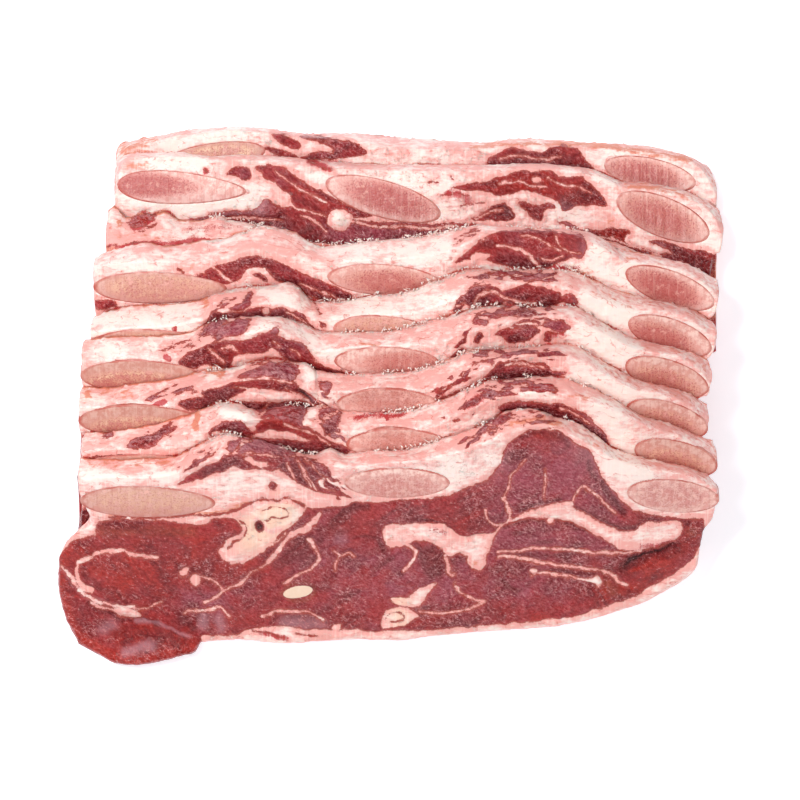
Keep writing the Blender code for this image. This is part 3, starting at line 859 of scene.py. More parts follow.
def bone_finish():
    """Pale rim to spongy core by the share of the way out, with pores and vertical saw lines."""
    finish, tree, shader = see_through_finish("sawn_rib_bone", 0.2, (1.0, 0.5, 0.4), 0.001)
    where, math, mixed, rough, eased = node_makers(tree, 0.6)
    out, red, core, tan, low = (kept(tree, field) for field in ("out", "red", "core", "tan", "low"))
    combed = shader_node(tree, "Mapping", {"Vector": where, "Scale": (1.0, 0.07, 0.07)}).outputs[0]
    saw = rough(1300.0, 2.0, combed)
    cloud = rough(420.0, 5.0, roughness=0.7)
    pores = rough(1700.0, 2.0, roughness=0.5)
    inner = eased(math("MULTIPLY_ADD", cloud, 0.5, core), 0.28, 0.60)
    colour = mixed(eased(cloud, 0.42, 0.60), (0.72, 0.35, 0.31, 1), (0.91, 0.65, 0.59, 1))
    colour = mixed(math("MULTIPLY", tan, 0.8), colour, (0.50, 0.21, 0.15, 1))
    colour = mixed(math("MULTIPLY", inner, math("MULTIPLY_ADD", red, 0.6, 0.28)), colour, (0.60, 0.19, 0.165, 1))
    fatty = math("MULTIPLY", math("MULTIPLY", inner, eased(cloud, 0.62, 0.42)), tan)
    colour = mixed(fatty, colour, (0.86, 0.62, 0.42, 1))
    bloody = math("MULTIPLY", red, eased(math("MULTIPLY_ADD", cloud, 0.7, core), 0.55, 0.95))
    colour = mixed(math("MULTIPLY", bloody, 0.80), colour, (0.44, 0.060, 0.055, 1))
    pored = math("MULTIPLY", inner, eased(pores, 0.52, 0.62))
    colour = mixed(math("MULTIPLY", math("MULTIPLY_ADD", red, 0.6, 0.32), pored), colour, (0.40, 0.06, 0.06, 1))
    colour = mixed(eased(saw, 0.52, 0.72, 0.0, 0.16), colour, (0.93, 0.70, 0.60, 1))
    colour = mixed(eased(saw, 0.48, 0.30, 0.0, 0.24), colour, (0.45, 0.13, 0.10, 1))
    colour = mixed(math("MULTIPLY", inner, eased(cloud, 0.52, 0.70, 0.0, 0.55)), colour, (0.93, 0.55, 0.46, 1))
    shaded = eased(math("MULTIPLY_ADD", math("SUBTRACT", cloud, 0.5), 1.6, low), -0.25, 1.0)
    strength = math("MULTIPLY_ADD", red, 0.30, math("MULTIPLY_ADD", tan, 0.55, 0.10))
    colour = mixed(math("MULTIPLY", shaded, strength), colour, (0.36, 0.050, 0.045, 1))
    skin = eased(math("MULTIPLY_ADD", rough(700.0), 0.08, out), 0.955, 1.01)
    skin = math("MULTIPLY", skin, eased(rough(160.0, 2.0), 0.40, 0.60, 0.45, 0.9))
    colour = mixed(skin, colour, (0.46, 0.075, 0.050, 1))
    tree.links.new(colour, shader.inputs["Base Color"])
    tree.links.new(math("MULTIPLY_ADD", pores, 0.3, 0.32), shader.inputs["Roughness"])
    height = math("MULTIPLY_ADD", saw, 0.7, math("MULTIPLY", math("MULTIPLY", pores, inner), -1.0))
    bump = shader_node(tree, "Bump", {"Strength": 0.5, "Distance": 0.0004, "Height": height})
    tree.links.new(bump.outputs[0], shader.inputs["Normal"])
    return finish


BONE = bone_finish()


def add_plug(piece, node, name, oval, finish, slot, red=0.0, tan=0.0, core_x=0.0, core_y=0.0):
    """An oval plug: its face follows the sheet, its wall goes in square to it, and it ends inside."""
    place = oval_place(name, oval)
    cx, cy, lean, half_length, half_height, turn, taper = place
    angle = np.linspace(0, 2 * np.pi, BONE_SECTORS, endpoint=False)
    slope = math.sqrt(1 - lean * lean)
    thick = float(front_height(name, cx, cy) - back_height(name, np.array(cx), np.array(cy))) * lean

    def ring(out, depth):
        u, w = out * np.cos(angle), out * np.sin(angle)
        w = half_height * w * narrowed(taper, u)
        u = half_length * u
        x = cx + u * math.cos(turn) - w * math.sin(turn)
        y = cy + (u * math.sin(turn) + w * math.cos(turn)) * lean
        z = front_height(name, x, y)
        return np.stack([x, y + depth * slope, z - depth * lean], -1)

    def face_depth(out):
        """Level with the meat in the middle, and rounded down over the last tenth."""
        return -0.12 + 0.20 * (max(out - 0.93, 0.0) / 0.07) ** 2

    rings = [ring(out, face_depth(out)) for out in BONE_RINGS[1:]]
    outs = list(BONE_RINGS[1:])
    deepest = 0.72 * thick
    for depth in np.linspace(face_depth(1.0), deepest, 7)[1:]:
        rings.append(ring(1.0, depth))
        outs.append(1.0)
    points = np.concatenate([ring(0.0, face_depth(0.0))[:1], *rings, ring(0.0, deepest)[:1]])
    out = np.concatenate([[0.0], np.repeat(outs, BONE_SECTORS), [1.0]])
    loops = [1 + k * BONE_SECTORS + np.arange(BONE_SECTORS) for k in range(len(rings))]
    quads = [np.stack([one, other, np.roll(other, -1), np.roll(one, -1)], -1)
             for one, other in zip(loops, loops[1:])]
    last = len(points) - 1
    first, final = loops[0], loops[-1]
    caps = [np.stack([np.zeros_like(first), first, np.roll(first, -1)], -1),
            np.stack([np.full_like(final, last), np.roll(final, -1), final], -1)]
    made = new_mesh(piece, points, quads + caps)
    x, y, z = points.T
    grain = 0.10 * noise(x, y * 0.1, z * 0.1, 0.9, 21) + 0.10 * noise(x, y, z, 2.2, 22)
    mesh = made.data
    put_points(mesh, points + vertex_normals(mesh) * (grain * (out < 0.97))[:, None])
    mesh.update()
    keep_field(mesh, "out", out)
    keep_field(mesh, "core", 1 - oval_reach(place, x - core_x * half_length, y - core_y * half_height))
    keep_field(mesh, "low", out * -np.sin(np.concatenate([[0.0], np.tile(angle, len(rings)), [0.0]])))
    keep_field(mesh, "red", np.full(len(out), red))
    keep_field(mesh, "tan", np.full(len(out), tan))
    mesh.materials.append(finish)
    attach(made, "root")
    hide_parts(node)


# --- The front slice, which shows whole -------------------------------------------------------------
# Below its fat cap and bones lie the muscles: a thick oval one at the right under the hump, a wide one
# at the left that ends in a wet lobe, and a fibrous stretch between, parted by cream seams.

FRONT_RIDGE = [
    80, 482, 110, 478, 150, 478, 175, 474, 190, 467, 240, 455, 290, 462, 345, 467, 390, 463, 430, 459, 460, 452,
    480, 445, 520, 428, 545, 426, 565, 432, 600, 452, 620, 462, 650, 470, 680, 474, 700, 481, 716, 490]
FRONT_MARKS = {
    "lean": {
        "muscles": [
            56, 562, 64, 547, 72, 539, 80, 535, 92, 537, 96, 524, 112, 520, 130, 519, 180, 521, 214, 519, 226, 518,
            236, 521, 241, 528, 238, 535, 230, 539, 223, 546, 219, 553, 225, 561, 236, 564, 247, 561, 256, 555,
            266, 550, 272, 544, 278, 536, 288, 529, 297, 521, 303, 513, 307, 508, 322, 508, 345, 507, 356, 503,
            380, 502, 410, 499, 438, 497, 456, 492, 480, 483, 490, 477, 498, 468, 501, 457, 506, 447, 514, 438,
            526, 432, 545, 429, 560, 432, 570, 440, 582, 447, 591, 453, 596, 462, 603, 477, 615, 493, 626, 505,
            636, 512, 650, 514, 680, 518, 697, 519, 706, 527, 703, 538, 698, 550, 690, 562, 675, 573, 655, 585,
            636, 596, 615, 604, 595, 611, 570, 617, 510, 624, 450, 629, 420, 631, 372, 632, 345, 630, 310, 630,
            285, 627, 262, 627, 246, 630, 236, 635, 201, 637, 203, 646, 192, 658, 150, 670, 108, 666, 76, 652,
            58, 636, 52, 600],
        "hump": [
            178, 486, 186, 478, 200, 469, 215, 463, 228, 457, 240, 454, 251, 458, 250, 463, 232, 468, 216, 474,
            199, 480],
        "hump top": [
            229, 442, 240, 438, 264, 438, 276, 441, 288, 448, 296, 454, 284, 458, 262, 455, 250, 453, 238, 455,
            228, 452],
        "rim": [222, 462, 226, 455, 250, 455, 272, 457, 281, 456, 296, 457, 280, 469, 262, 470, 240, 469],
        "fibrous": [
            279, 457, 297, 456, 312, 458, 326, 467, 331, 475, 320, 480, 322, 487, 345, 494, 352, 499, 330, 495,
            314, 492, 306, 489, 290, 479, 281, 470],
        "hole": [255, 524, 260, 522, 264, 527, 263, 533, 258, 534, 255, 530],
        "vein": [268, 486, 273, 483, 278, 486, 275, 490, 270, 490],
        "corner": [678, 528, 690, 521, 704, 520, 702, 534, 690, 541, 680, 538],
    },
    "fat": {
        "rim patch": [245, 458, 252, 458, 258, 463, 268, 464, 262, 468, 252, 465],
        "under the bone": [180, 518, 195, 515, 211, 517, 209, 523, 195, 525, 183, 523],
        "peeking corner": [80, 528, 92, 524, 95, 536, 84, 538, 72, 541, 66, 548, 64, 543],
        "seam patch": [
            388, 526, 408, 524, 428, 524, 443, 526, 454, 533, 467, 537, 483, 534, 492, 534, 490, 546, 485, 556,
            480, 562, 473, 558, 460, 554, 448, 556, 441, 548, 430, 542, 414, 542, 403, 546, 390, 548, 383, 534],
        "seam lobe": [469, 557, 483, 553, 486, 565, 479, 571, 470, 566],
        "seam": [
            488, 536, 500, 527, 510, 520, 522, 514, 540, 508, 560, 502, 571, 502, 573, 509, 590, 517, 606, 526,
            622, 531, 636, 530, 646, 524, 668, 521, 680, 523, 682, 532, 676, 540, 660, 546, 640, 550, 622, 549,
            612, 544, 598, 536, 585, 529, 570, 522, 545, 519, 520, 521, 506, 526, 496, 533, 491, 546],
        "middle lump": [
            391, 600, 400, 598, 409, 599, 413, 594, 421, 589, 436, 584, 433, 590, 427, 597, 422, 603, 417, 607,
            408, 608, 398, 606],
        "lower lump": [383, 622, 385, 614, 392, 609, 408, 610, 419, 616, 410, 620, 403, 625, 392, 628, 382, 628],
        "left spot": [190, 578, 194, 575, 200, 577, 199, 583, 194, 585, 190, 583],
        "left spot 2": [180, 572, 183, 568, 188, 570, 186, 576, 182, 577],
        "wedge": [113, 611, 126, 609, 137, 610, 141, 618, 130, 618, 118, 616],
        "curl": [569, 576, 578, 576, 590, 578, 597, 576, 602, 583, 598, 587, 592, 583, 582, 580],
        "speck": [530, 569, 535, 568, 537, 573, 531, 574],
        "bright speck": [548, 523, 551, 517, 554, 518, 552, 524],
        "spots": [333, 625, 340, 624, 341, 629, 334, 630],
    },
    "seams": {
        "upper arc": (1.5, [78, 563, 85, 560, 92, 556, 100, 553, 120, 551, 130, 554, 145, 556, 158, 557]),
        "left ring": (2.1, [79, 562, 77, 568, 77, 576, 80, 584, 86, 588, 92, 590]),
        "white fascia": (1.5, [
            61, 567, 64, 571, 70, 577, 75, 585, 82, 592, 90, 597, 100, 602, 110, 605, 120, 607, 134, 606]),
        "strip below": (1.3, [92, 602, 102, 608, 113, 611, 122, 612]),
        "ring line": (0.9, [133, 606, 140, 609, 148, 609, 154, 605, 161, 602]),
        "thin curve": (0.8, [200, 577, 208, 578, 215, 580, 220, 585, 222, 591]),
        "long fascia": (1.2, [204, 603, 213, 600, 222, 594, 231, 588, 240, 583, 250, 574, 262, 567, 270, 562]),
        "fascia middle": (1.9, [268, 563, 277, 552, 285, 542, 292, 536]),
        "fascia end": (3, [292, 536, 300, 532, 306, 527, 313, 521, 320, 515]),
        "beside it": (0.9, [232, 565, 250, 557, 262, 550, 275, 543, 285, 535]),
        "branch": (1, [309, 540, 314, 548, 318, 555, 317, 562, 312, 567, 305, 572, 297, 575, 285, 584]),
        "fork": (0.9, [335, 551, 340, 556, 348, 553, 353, 556]),
        "fork stem": (0.8, [340, 556, 336, 562, 335, 571]),
        "round left": (0.9, [485, 510, 487, 520, 493, 524, 501, 526]),
        "round right": (0.9, [508, 522, 509, 512, 507, 503, 504, 499]),
        "upper line": (1.1, [498, 551, 515, 551, 545, 548, 575, 551, 605, 553, 640, 551]),
        "lower line": (1.1, [
            498, 557, 515, 558, 545, 563, 560, 566, 590, 569, 608, 573, 614, 577, 618, 583, 627, 585]),
        "fold": (1.5, [405, 543, 412, 549, 416, 555, 414, 560, 409, 566, 404, 571]),
        "white line": (1.1, [446, 556, 447, 563, 448, 572, 453, 575]),
        "loop": (0.9, [455, 583, 457, 590, 462, 595, 470, 598, 484, 602]),
        "lower loop": (0.9, [420, 611, 440, 614, 452, 613, 470, 609, 484, 603]),
        "curl line": (0.9, [530, 576, 540, 574, 555, 574, 569, 577]),
        "eye 1": (0.7, [510, 478, 516, 470, 527, 461]),
        "eye 2": (0.6, [545, 470, 545, 480, 544, 500]),
        "eye 3": (0.7, [511, 478, 508, 490, 506, 500, 510, 519]),
        "eye 4": (0.8, [572, 501, 577, 493, 583, 487, 592, 493, 604, 503, 616, 514]),
        "stripe 1": (0.8, [298, 460, 306, 475, 316, 490]),
        "stripe 2": (0.8, [306, 459, 318, 472, 330, 486]),
        "stripe 3": (0.7, [303, 472, 310, 488]),
        "stripe 4": (0.6, [288, 463, 293, 478]),
        "swirl": (1.1, [234, 454, 240, 446, 250, 440]),
        "pale arc": (1, [262, 617, 270, 613, 280, 611, 308, 613, 322, 620]),
        "mauve line": (0.9, [184, 614, 192, 610, 210, 610, 222, 608, 229, 617]),
    },
    "threads": {
        "membrane": (1.3, [
            110, 518, 130, 517, 160, 518, 180, 516, 212, 515, 225, 513, 240, 509, 252, 503, 258, 500, 275, 500,
            285, 498, 297, 503, 303, 506]),
        "nodule line": (0.8, [262, 512, 270, 507, 280, 507, 288, 512, 282, 518, 272, 517, 266, 522]),
        "crescent": (0.9, [240, 522, 246, 528, 242, 537, 234, 543, 228, 549]),
        "lump swirl": (0.7, [386, 620, 391, 614, 398, 614, 404, 617, 398, 622, 391, 623]),
        "bottom red": (1.1, [252, 631, 262, 632, 272, 635, 287, 640]),
        "bottom red 2": (0.9, [296, 634, 315, 636, 330, 637]),
    },
    "shreds": {
        "cap film": (0.9, 9, -8, [486, 420, 505, 418]),
        "cap": (0.6, 7, 0, [520, 418, 550, 420]),
        "left of the cap": (0.75, 8, 35, [465, 440, 485, 430]),
        "hump": (0.5, 6, 35, [185, 470, 215, 450]),
        "tail": (0.7, 8, -35, [318, 475, 340, 490]),
    },
    # The gash, the hole, the dark fold and the lobe crease are painted shade in recesses.
    "tone": {
        "gash": (2.2, 4.2, [623, 569, 628, 562, 638, 557, 652, 553, 664, 549, 676, 546]),
        "hole": (2.5, 6, [259, 528]),
        "lobe crease": (1.4, 2.4, [90, 603, 100, 610, 115, 616, 130, 619, 142, 620, 158, 624]),
        "lobe": (0.8, 12, [128, 636, 160, 638, 182, 642]),
        "left swirl": (0.8, 3, [84, 576, 86, 583, 91, 587, 98, 588]),
        "under the bone": (0.45, 5, [98, 526, 125, 525, 150, 527, 185, 529]),
        "triangle": (0.7, 7, [183, 616, 189, 627]),
        "beside the fascia": (0.7, 8, [285, 563, 298, 553, 308, 545]),
        "red wedge": (0.5, 5, [318, 528, 318, 541]),
        "dark fold": (1.3, 3.2, [333, 524, 345, 512, 356, 508, 368, 507]),
        "swirl": (1.1, 2.4, [354, 538, 368, 536, 378, 541, 384, 551]),
        "crescent": (1.1, 8, [424, 551, 436, 560, 437, 572]),
        "patch line": (1.5, 1.8, [420, 520, 430, 521, 440, 524, 450, 530, 460, 536, 470, 538, 482, 535]),
        "under the seam": (1.2, 2, [496, 530, 508, 526, 520, 522, 545, 520, 570, 523, 590, 532]),
        "maroon strip": (0.8, 3.5, [512, 555, 545, 555, 570, 557]),
        "lens": (1.1, 2.8, [285, 616, 303, 618, 318, 620]),
        "cut 1": (1.8, 1.8, [503, 580, 510, 587, 516, 591]),
        "under the curl": (1, 1.8, [540, 571, 560, 571, 572, 573]),
        "eye side": (1.2, 2.4, [589, 462, 592, 472, 599, 480]),
        "eye side 2": (1.8, 2.6, [603, 484, 609, 495, 617, 505, 624, 514]),
        "eye top": (0.8, 3.5, [522, 434, 545, 432, 558, 436, 567, 444]),
        "eye bottom": (0.9, 2, [520, 511, 540, 505, 560, 499]),
        "eye foot": (0.9, 2.2, [572, 507, 590, 515, 606, 523, 622, 528, 640, 525]),
        "fibrous": (1, 9, [300, 466, 308, 480]),
        "hump": (0.5, 5, [200, 473, 232, 461]),
        "right tail": (0.5, 3, [640, 519, 665, 521, 690, 522]),
        "lighter eye": (-0.45, 26, [530, 480, 560, 478]),
        "lighter rim": (-0.8, 5, [
            62, 550, 59, 575, 62, 600, 70, 622, 84, 640, 110, 656, 140, 660, 175, 653, 195, 646]),
        "lighter middle": (-0.35, 16, [340, 590, 460, 590]),
    },
    "hue": {
        "left": (-0.55, 42, [85, 555, 150, 575, 200, 545]),
        "left rim": (-1.3, 6, [
            62, 550, 59, 575, 62, 600, 70, 622, 84, 640, 110, 656, 140, 660, 175, 653, 195, 646]),
        "lobe": (-0.9, 14, [120, 635, 180, 640]),
        "mauve grey": (1.1, 13, [185, 598, 215, 602]),
        "centre": (0.55, 30, [330, 560, 400, 575, 470, 585, 560, 590]),
        "muscle": (0.8, 9, [341, 538]),
        "crescent": (0.9, 7, [398, 558, 400, 570]),
        "round": (0.8, 8, [460, 564]),
        "eye": (0.95, 30, [520, 485, 560, 475, 590, 500]),
        "second": (0.7, 16, [500, 538, 560, 535, 600, 545]),
        "gash wall": (-1.6, 4, [626, 571, 650, 561, 676, 550]),
        "right": (-0.9, 11, [606, 590, 640, 585, 690, 535]),
        "bottom": (-0.5, 8, [480, 600, 540, 618, 600, 600]),
        "fibrous": (-0.6, 9, [300, 470]),
        "top": (-0.8, 4, [530, 432, 562, 437]),
        "hump top": (1.2, 8, [240, 446, 275, 447]),
    },
    "blood": {
        "fat bottom": (0.9, 2.5, [262, 633, 285, 639]),
        "vein": (0.9, 4, [273, 487]),
        "right of seam": (0.7, 3, [640, 546, 665, 545, 690, 540]),
        "seam top": (0.6, 1.8, [505, 526, 520, 521, 545, 518]),
        "patch": (0.6, 3.5, [430, 530, 445, 534]),
    },
    "brown": {
        "membrane": (1, 3, [110, 517, 180, 514, 225, 511, 250, 503, 285, 498, 305, 506]),
        "nodules": (-0.7, 22, [250, 535, 280, 512]),
        "nodule shade": (0.9, 2, [256, 520, 266, 529, 280, 530]),
        "crescent": (0.9, 2.5, [243, 530, 232, 543]),
        "lumps": (-0.6, 14, [400, 602, 400, 620]),
        "lump lines": (0.9, 1.8, [392, 607, 404, 609, 416, 611]),
        "seam lobe": (1, 3.5, [475, 564]),
        "patch": (0.5, 3.5, [390, 540, 400, 528]),
        "corner": (0.9, 7, [692, 531]),
        "left top": (0.7, 8, [100, 530, 190, 531]),
        "cap": (0.8, 4.5, [512, 424, 540, 420, 560, 425]),
        "halo": (0.8, 3, [283, 594, 292, 600, 306, 599, 315, 590, 305, 583, 290, 586, 283, 594]),
        "striped": (0.8, 7, [606, 583, 614, 592]),
        "left cap": (0.5, 6, [90, 464, 130, 464, 170, 462]),
    },
    "white": {
        "seams": (-0.15, 42, [110, 580, 400, 575, 640, 560]),
        "cap right": (0.8, 26, [600, 440, 640, 475]),
        "cap middle": (0.6, 16, [455, 470, 490, 462]),
        "band": (0.9, 5, [85, 477, 130, 478, 175, 474]),
        "fascia": (0.9, 3, [64, 571, 82, 592, 110, 605, 132, 607]),
        # On the lean: painted reflections of the lamps on the wet lobe, and painted highlights.
        "reflection 1": (0.8, 6, [102, 630, 112, 624]),
        "reflection 2": (0.9, 5, [126, 654, 140, 648, 152, 646]),
        "reflection 3": (0.9, 1.9, [134, 621, 152, 622, 164, 625, 176, 631, 190, 637]),
        "highlight 1": (0.8, 5, [202, 626, 203, 614]),
        "highlight 2": (0.8, 5.5, [219, 617, 222, 628]),
        "highlight 3": (0.7, 7, [285, 622, 320, 624]),
        "muscle": (0.4, 8, [341, 538]),
        "curl": (0.9, 4, [598, 582, 580, 578]),
        "hump top": (0.55, 6, [236, 446, 258, 442, 278, 446]),
    },
    "relief": {
        "gash lip": (0.8, 5, [634, 572, 655, 563, 680, 553]),
        "lobe": (0.9, 12, [125, 640, 170, 645]),
        "nodule": (0.9, 8, [272, 515, 288, 508]),
        "lumps": (0.7, 6, [250, 545, 235, 555]),
        "left muscle": (0.8, 20, [110, 578, 150, 580]),
        "muscle": (0.7, 9, [341, 537]),
        "crescent muscle": (0.6, 8, [428, 556, 434, 570]),
        "curl": (0.8, 3, [575, 577, 598, 581]),
    },
    "fibres": {
        "fibrous": (-50, 12, [300, 470, 312, 485]),
        "left": (-48, 30, [90, 565, 140, 575]),
        "left top": (-8, 12, [120, 530, 200, 535]),
        "left low": (-40, 16, [185, 595, 215, 605]),
        "crescent": (-62, 12, [425, 555, 437, 570]),
        "striped": (-55, 12, [605, 585, 618, 595]),
        "gash": (25, 10, [640, 570, 680, 555]),
        "eye": (20, 20, [470, 500, 520, 490]),
        "second": (4, 12, [500, 540, 600, 545]),
    },
}

# Ovals: centre in pixels, half length and half height in pixels, turn in degrees, taper to the right.
# Looks of the bones: how red and how tan, and where the core's middle lies in half sizes.
LIGAMENT_OVAL = (298, 592, 15.5, 6, -14, 0)
front_finish = beef_material("beef_front")
add_slice(
    FRONT, front_finish, FRONT_MARKS, ends=(-112, 117), visible=62,
    ridge=FRONT_RIDGE,
    back_edge=[
        80, 458, 110, 460, 150, 458, 170, 458, 190, 450, 205, 442, 225, 433, 245, 437, 290, 450, 315, 455, 330, 448,
        345, 454, 370, 451, 410, 449, 430, 443, 460, 433, 490, 422, 505, 412, 535, 409, 555, 417, 575, 422,
        600, 438, 612, 448, 640, 457, 680, 466, 705, 474, 715, 484],
    ovals=[
        (148, 502, 68, 15.5, 1.5, 0.12), (397, 483, 53, 15, 0, 0),
        (673, 496, 47, 16.5, 8, 0), LIGAMENT_OVAL],
    looks=[(0.1, 0.45, 0, 0), (0.2, 0, 0, -0.2), (0.15, 0, 0, 0)],
    spacing=0.47,
    outlines={
        "left": [
            79, 482, 81, 497, 90, 513, 93, 525, 75, 535, 70, 543, 62, 555, 60, 570, 61, 590, 63, 605, 68, 622,
            74, 634, 80, 644],
        "right": [716, 484, 717, 490, 715, 500, 711, 520, 706, 528, 701, 535, 700, 545, 697, 560],
        "foot": [
            60, 638, 82, 643, 95, 650, 110, 658, 120, 662, 135, 663, 150, 661, 180, 653, 192, 651, 199, 642,
            220, 639, 243, 638, 280, 642, 320, 640, 360, 638, 400, 639, 430, 635, 460, 632, 500, 629, 530, 627,
            560, 624, 600, 615, 640, 602, 660, 592, 680, 580, 692, 570, 697, 560],
    },
)


def ligament_finish():
    """Smooth cream with faint fibres and a darker rim, wet."""
    finish, tree, shader = see_through_finish("ligament_end", 0.2, (1.0, 0.7, 0.5), 0.001)
    _, _, mixed, rough, eased = node_makers(tree, 0.5)
    cloud = rough(700.0, 4.0)
    body = mixed(cloud, (0.80, 0.57, 0.43, 1), (0.87, 0.70, 0.56, 1))
    colour = mixed(eased(kept(tree, "out"), 0.93, 1.0, 0.0, 0.8), body, (0.50, 0.20, 0.13, 1))
    tree.links.new(colour, shader.inputs["Base Color"])
    bump = shader_node(tree, "Bump", {"Strength": 0.3, "Distance": 0.0003, "Height": cloud})
    tree.links.new(bump.outputs[0], shader.inputs["Normal"])
    shader.inputs["Roughness"].default_value = 0.3
    return finish


add_plug("ligament_end", "ligament", FRONT, LIGAMENT_OVAL, ligament_finish(), "cartilage")


# --- The slices behind it ---------------------------------------------------------------------------
# From the front back: each shows only a strip, its sagging rim above and a band of its sawn face below.
# The last two lie flat, so more of their faces shows, with the bones cut long.

fan_finish = beef_material("beef_fanned")
SLICE_8_MARKS = {
    "lean": {
        "strip": [
            206, 434, 212, 428, 222, 422, 238, 421, 250, 425, 258, 425, 264, 419, 280, 419, 300, 424, 316, 432,
            332, 441, 350, 449, 344, 455, 330, 449, 318, 443, 300, 437, 282, 432, 262, 432, 246, 438, 236, 437,
            224, 431, 214, 437],
        "low": [
            230, 437, 258, 438, 282, 440, 300, 442, 316, 440, 332, 447, 318, 457, 300, 456, 280, 450, 250, 446,
            232, 442],
        "rim": [
            246, 404, 258, 402, 275, 401, 295, 402, 308, 404, 304, 414, 304, 426, 296, 426, 280, 421, 264, 419,
            258, 412],
        "right of the wedge": [320, 410, 332, 407, 345, 412, 338, 416, 326, 420, 318, 416],
        "beside the bone": [321, 419, 334, 415, 342, 418, 338, 425, 341, 431, 331, 432, 325, 436],
        "left": [
            127, 446, 131, 440, 140, 436, 152, 434, 160, 428, 172, 421, 168, 431, 160, 438, 155, 445, 143, 449,
            132, 449],
        "fold": [100, 435, 112, 433, 114, 438, 104, 440],
        "right": [
            498, 408, 508, 402, 530, 401, 550, 404, 562, 404, 576, 409, 590, 417, 600, 429, 609, 443, 600, 444,
            580, 430, 560, 420, 530, 416, 508, 415],
    },
    "fat": {
        "lump": [
            209, 411, 214, 405, 226, 403, 240, 407, 252, 411, 261, 418, 250, 422, 236, 421, 222, 421, 213, 418],
        "flecks": [246, 424, 252, 423, 256, 429, 250, 430],
        "crescent": [256, 433, 270, 432, 286, 433, 299, 437, 302, 441, 294, 442, 278, 439, 264, 438],
        "pale": [212, 433, 220, 431, 230, 434, 228, 438, 216, 439],
    },
    "seams": {
        "streak": (0.8, [286, 426, 300, 430, 316, 437, 330, 445]),
        "streak 2": (0.9, [259, 417, 265, 409, 271, 403]),
        "streak 3": (0.9, [314, 424, 326, 418, 338, 411]),
        "right": (0.7, [560, 409, 575, 414, 590, 424]),
    },
    # A dark line along the front slice's back edge: painted shade in the crease.
    "threads": {"under": (1.2, [90, 458, 120, 456, 150, 458, 172, 456])},
    "shreds": {
        "rim": (0.8, 9, -5, [485, 393, 520, 386, 545, 390]),
        "middle": (0.6, 7, 40, [462, 412, 478, 398]),
        "low": (0.45, 6, 0, [440, 420, 460, 415]),
        "left": (0.6, 6, 30, [150, 440, 175, 425]),
        "tail": (0.6, 8, -35, [325, 425, 345, 440]),
    },
    # Low and right darken the lean just above the front slice's back edge: painted shade.
    "tone": {
        "low": (0.9, 7, [285, 444, 310, 448, 328, 450]),
        "strip": (0.5, 4, [215, 430, 240, 432, 262, 428]),
        "right": (1.1, 4, [500, 412, 540, 411, 575, 420, 603, 442]),
    },
    "hue": {
        "strip": (-0.7, 5, [262, 422, 300, 428, 325, 438]),
        "right": (-0.9, 5, [555, 406, 585, 416, 602, 434]),
        "left low": (-1.2, 3, [135, 447, 155, 446]),
    },
    "blood": {
        "bone top": (0.8, 3.5, [355, 418, 372, 415, 392, 416, 405, 413]),
        "drip": (1.2, 1.3, [385, 413, 387, 420]),
        "rim": (0.7, 5, [470, 405, 480, 398]),
    },
    "brown": {
        "orange lump": (1.1, 4.5, [198, 415, 195, 428]),
        "right": (0.5, 5, [570, 396, 585, 398]),
    },
    "white": {
        "lump": (1.2, 6, [225, 412, 248, 417]),
        "wedge": (0.9, 6, [310, 412, 306, 422]),
        "bone side": (0.8, 5, [335, 434, 346, 443]),
        "right": (1, 14, [600, 412, 618, 432]),
    },
    "relief": {"lump": (1.3, 6, [225, 411, 246, 416])},
    "fibres": {"strip": (-28, 12, [230, 428, 320, 440])},
}
add_slice(
    "slice_8", fan_finish, SLICE_8_MARKS, ends=(-111, 117), visible=14,
    ridge=[
        85, 452, 120, 449, 170, 448, 200, 436, 240, 420, 300, 424, 345, 432, 390, 431, 430, 428, 470, 410, 500, 398,
        540, 392, 560, 394, 590, 402, 620, 414, 650, 428, 680, 438, 705, 452, 717, 462],
    back_edge=[
        85, 433, 110, 431, 140, 427, 170, 420, 195, 412, 212, 405, 235, 403, 258, 410, 290, 405, 310, 407, 322, 405,
        345, 411, 380, 412, 410, 410, 430, 404, 450, 397, 470, 388, 482, 383, 500, 379, 540, 377, 560, 378,
        580, 384, 600, 392, 620, 403, 640, 415, 670, 424, 700, 437, 712, 442, 718, 455],
    ovals=[
        (145, 470, 66, 15.5, 0, 0.1), (397, 444, 51, 15, 0, 0), (676, 458, 44, 17, 20, 0)],
    looks=[(0.2, 0.5, 0, 0), (0.25, 0.1, 0.1, 0), (0.45, 0.5, 0, -0.3)],
)
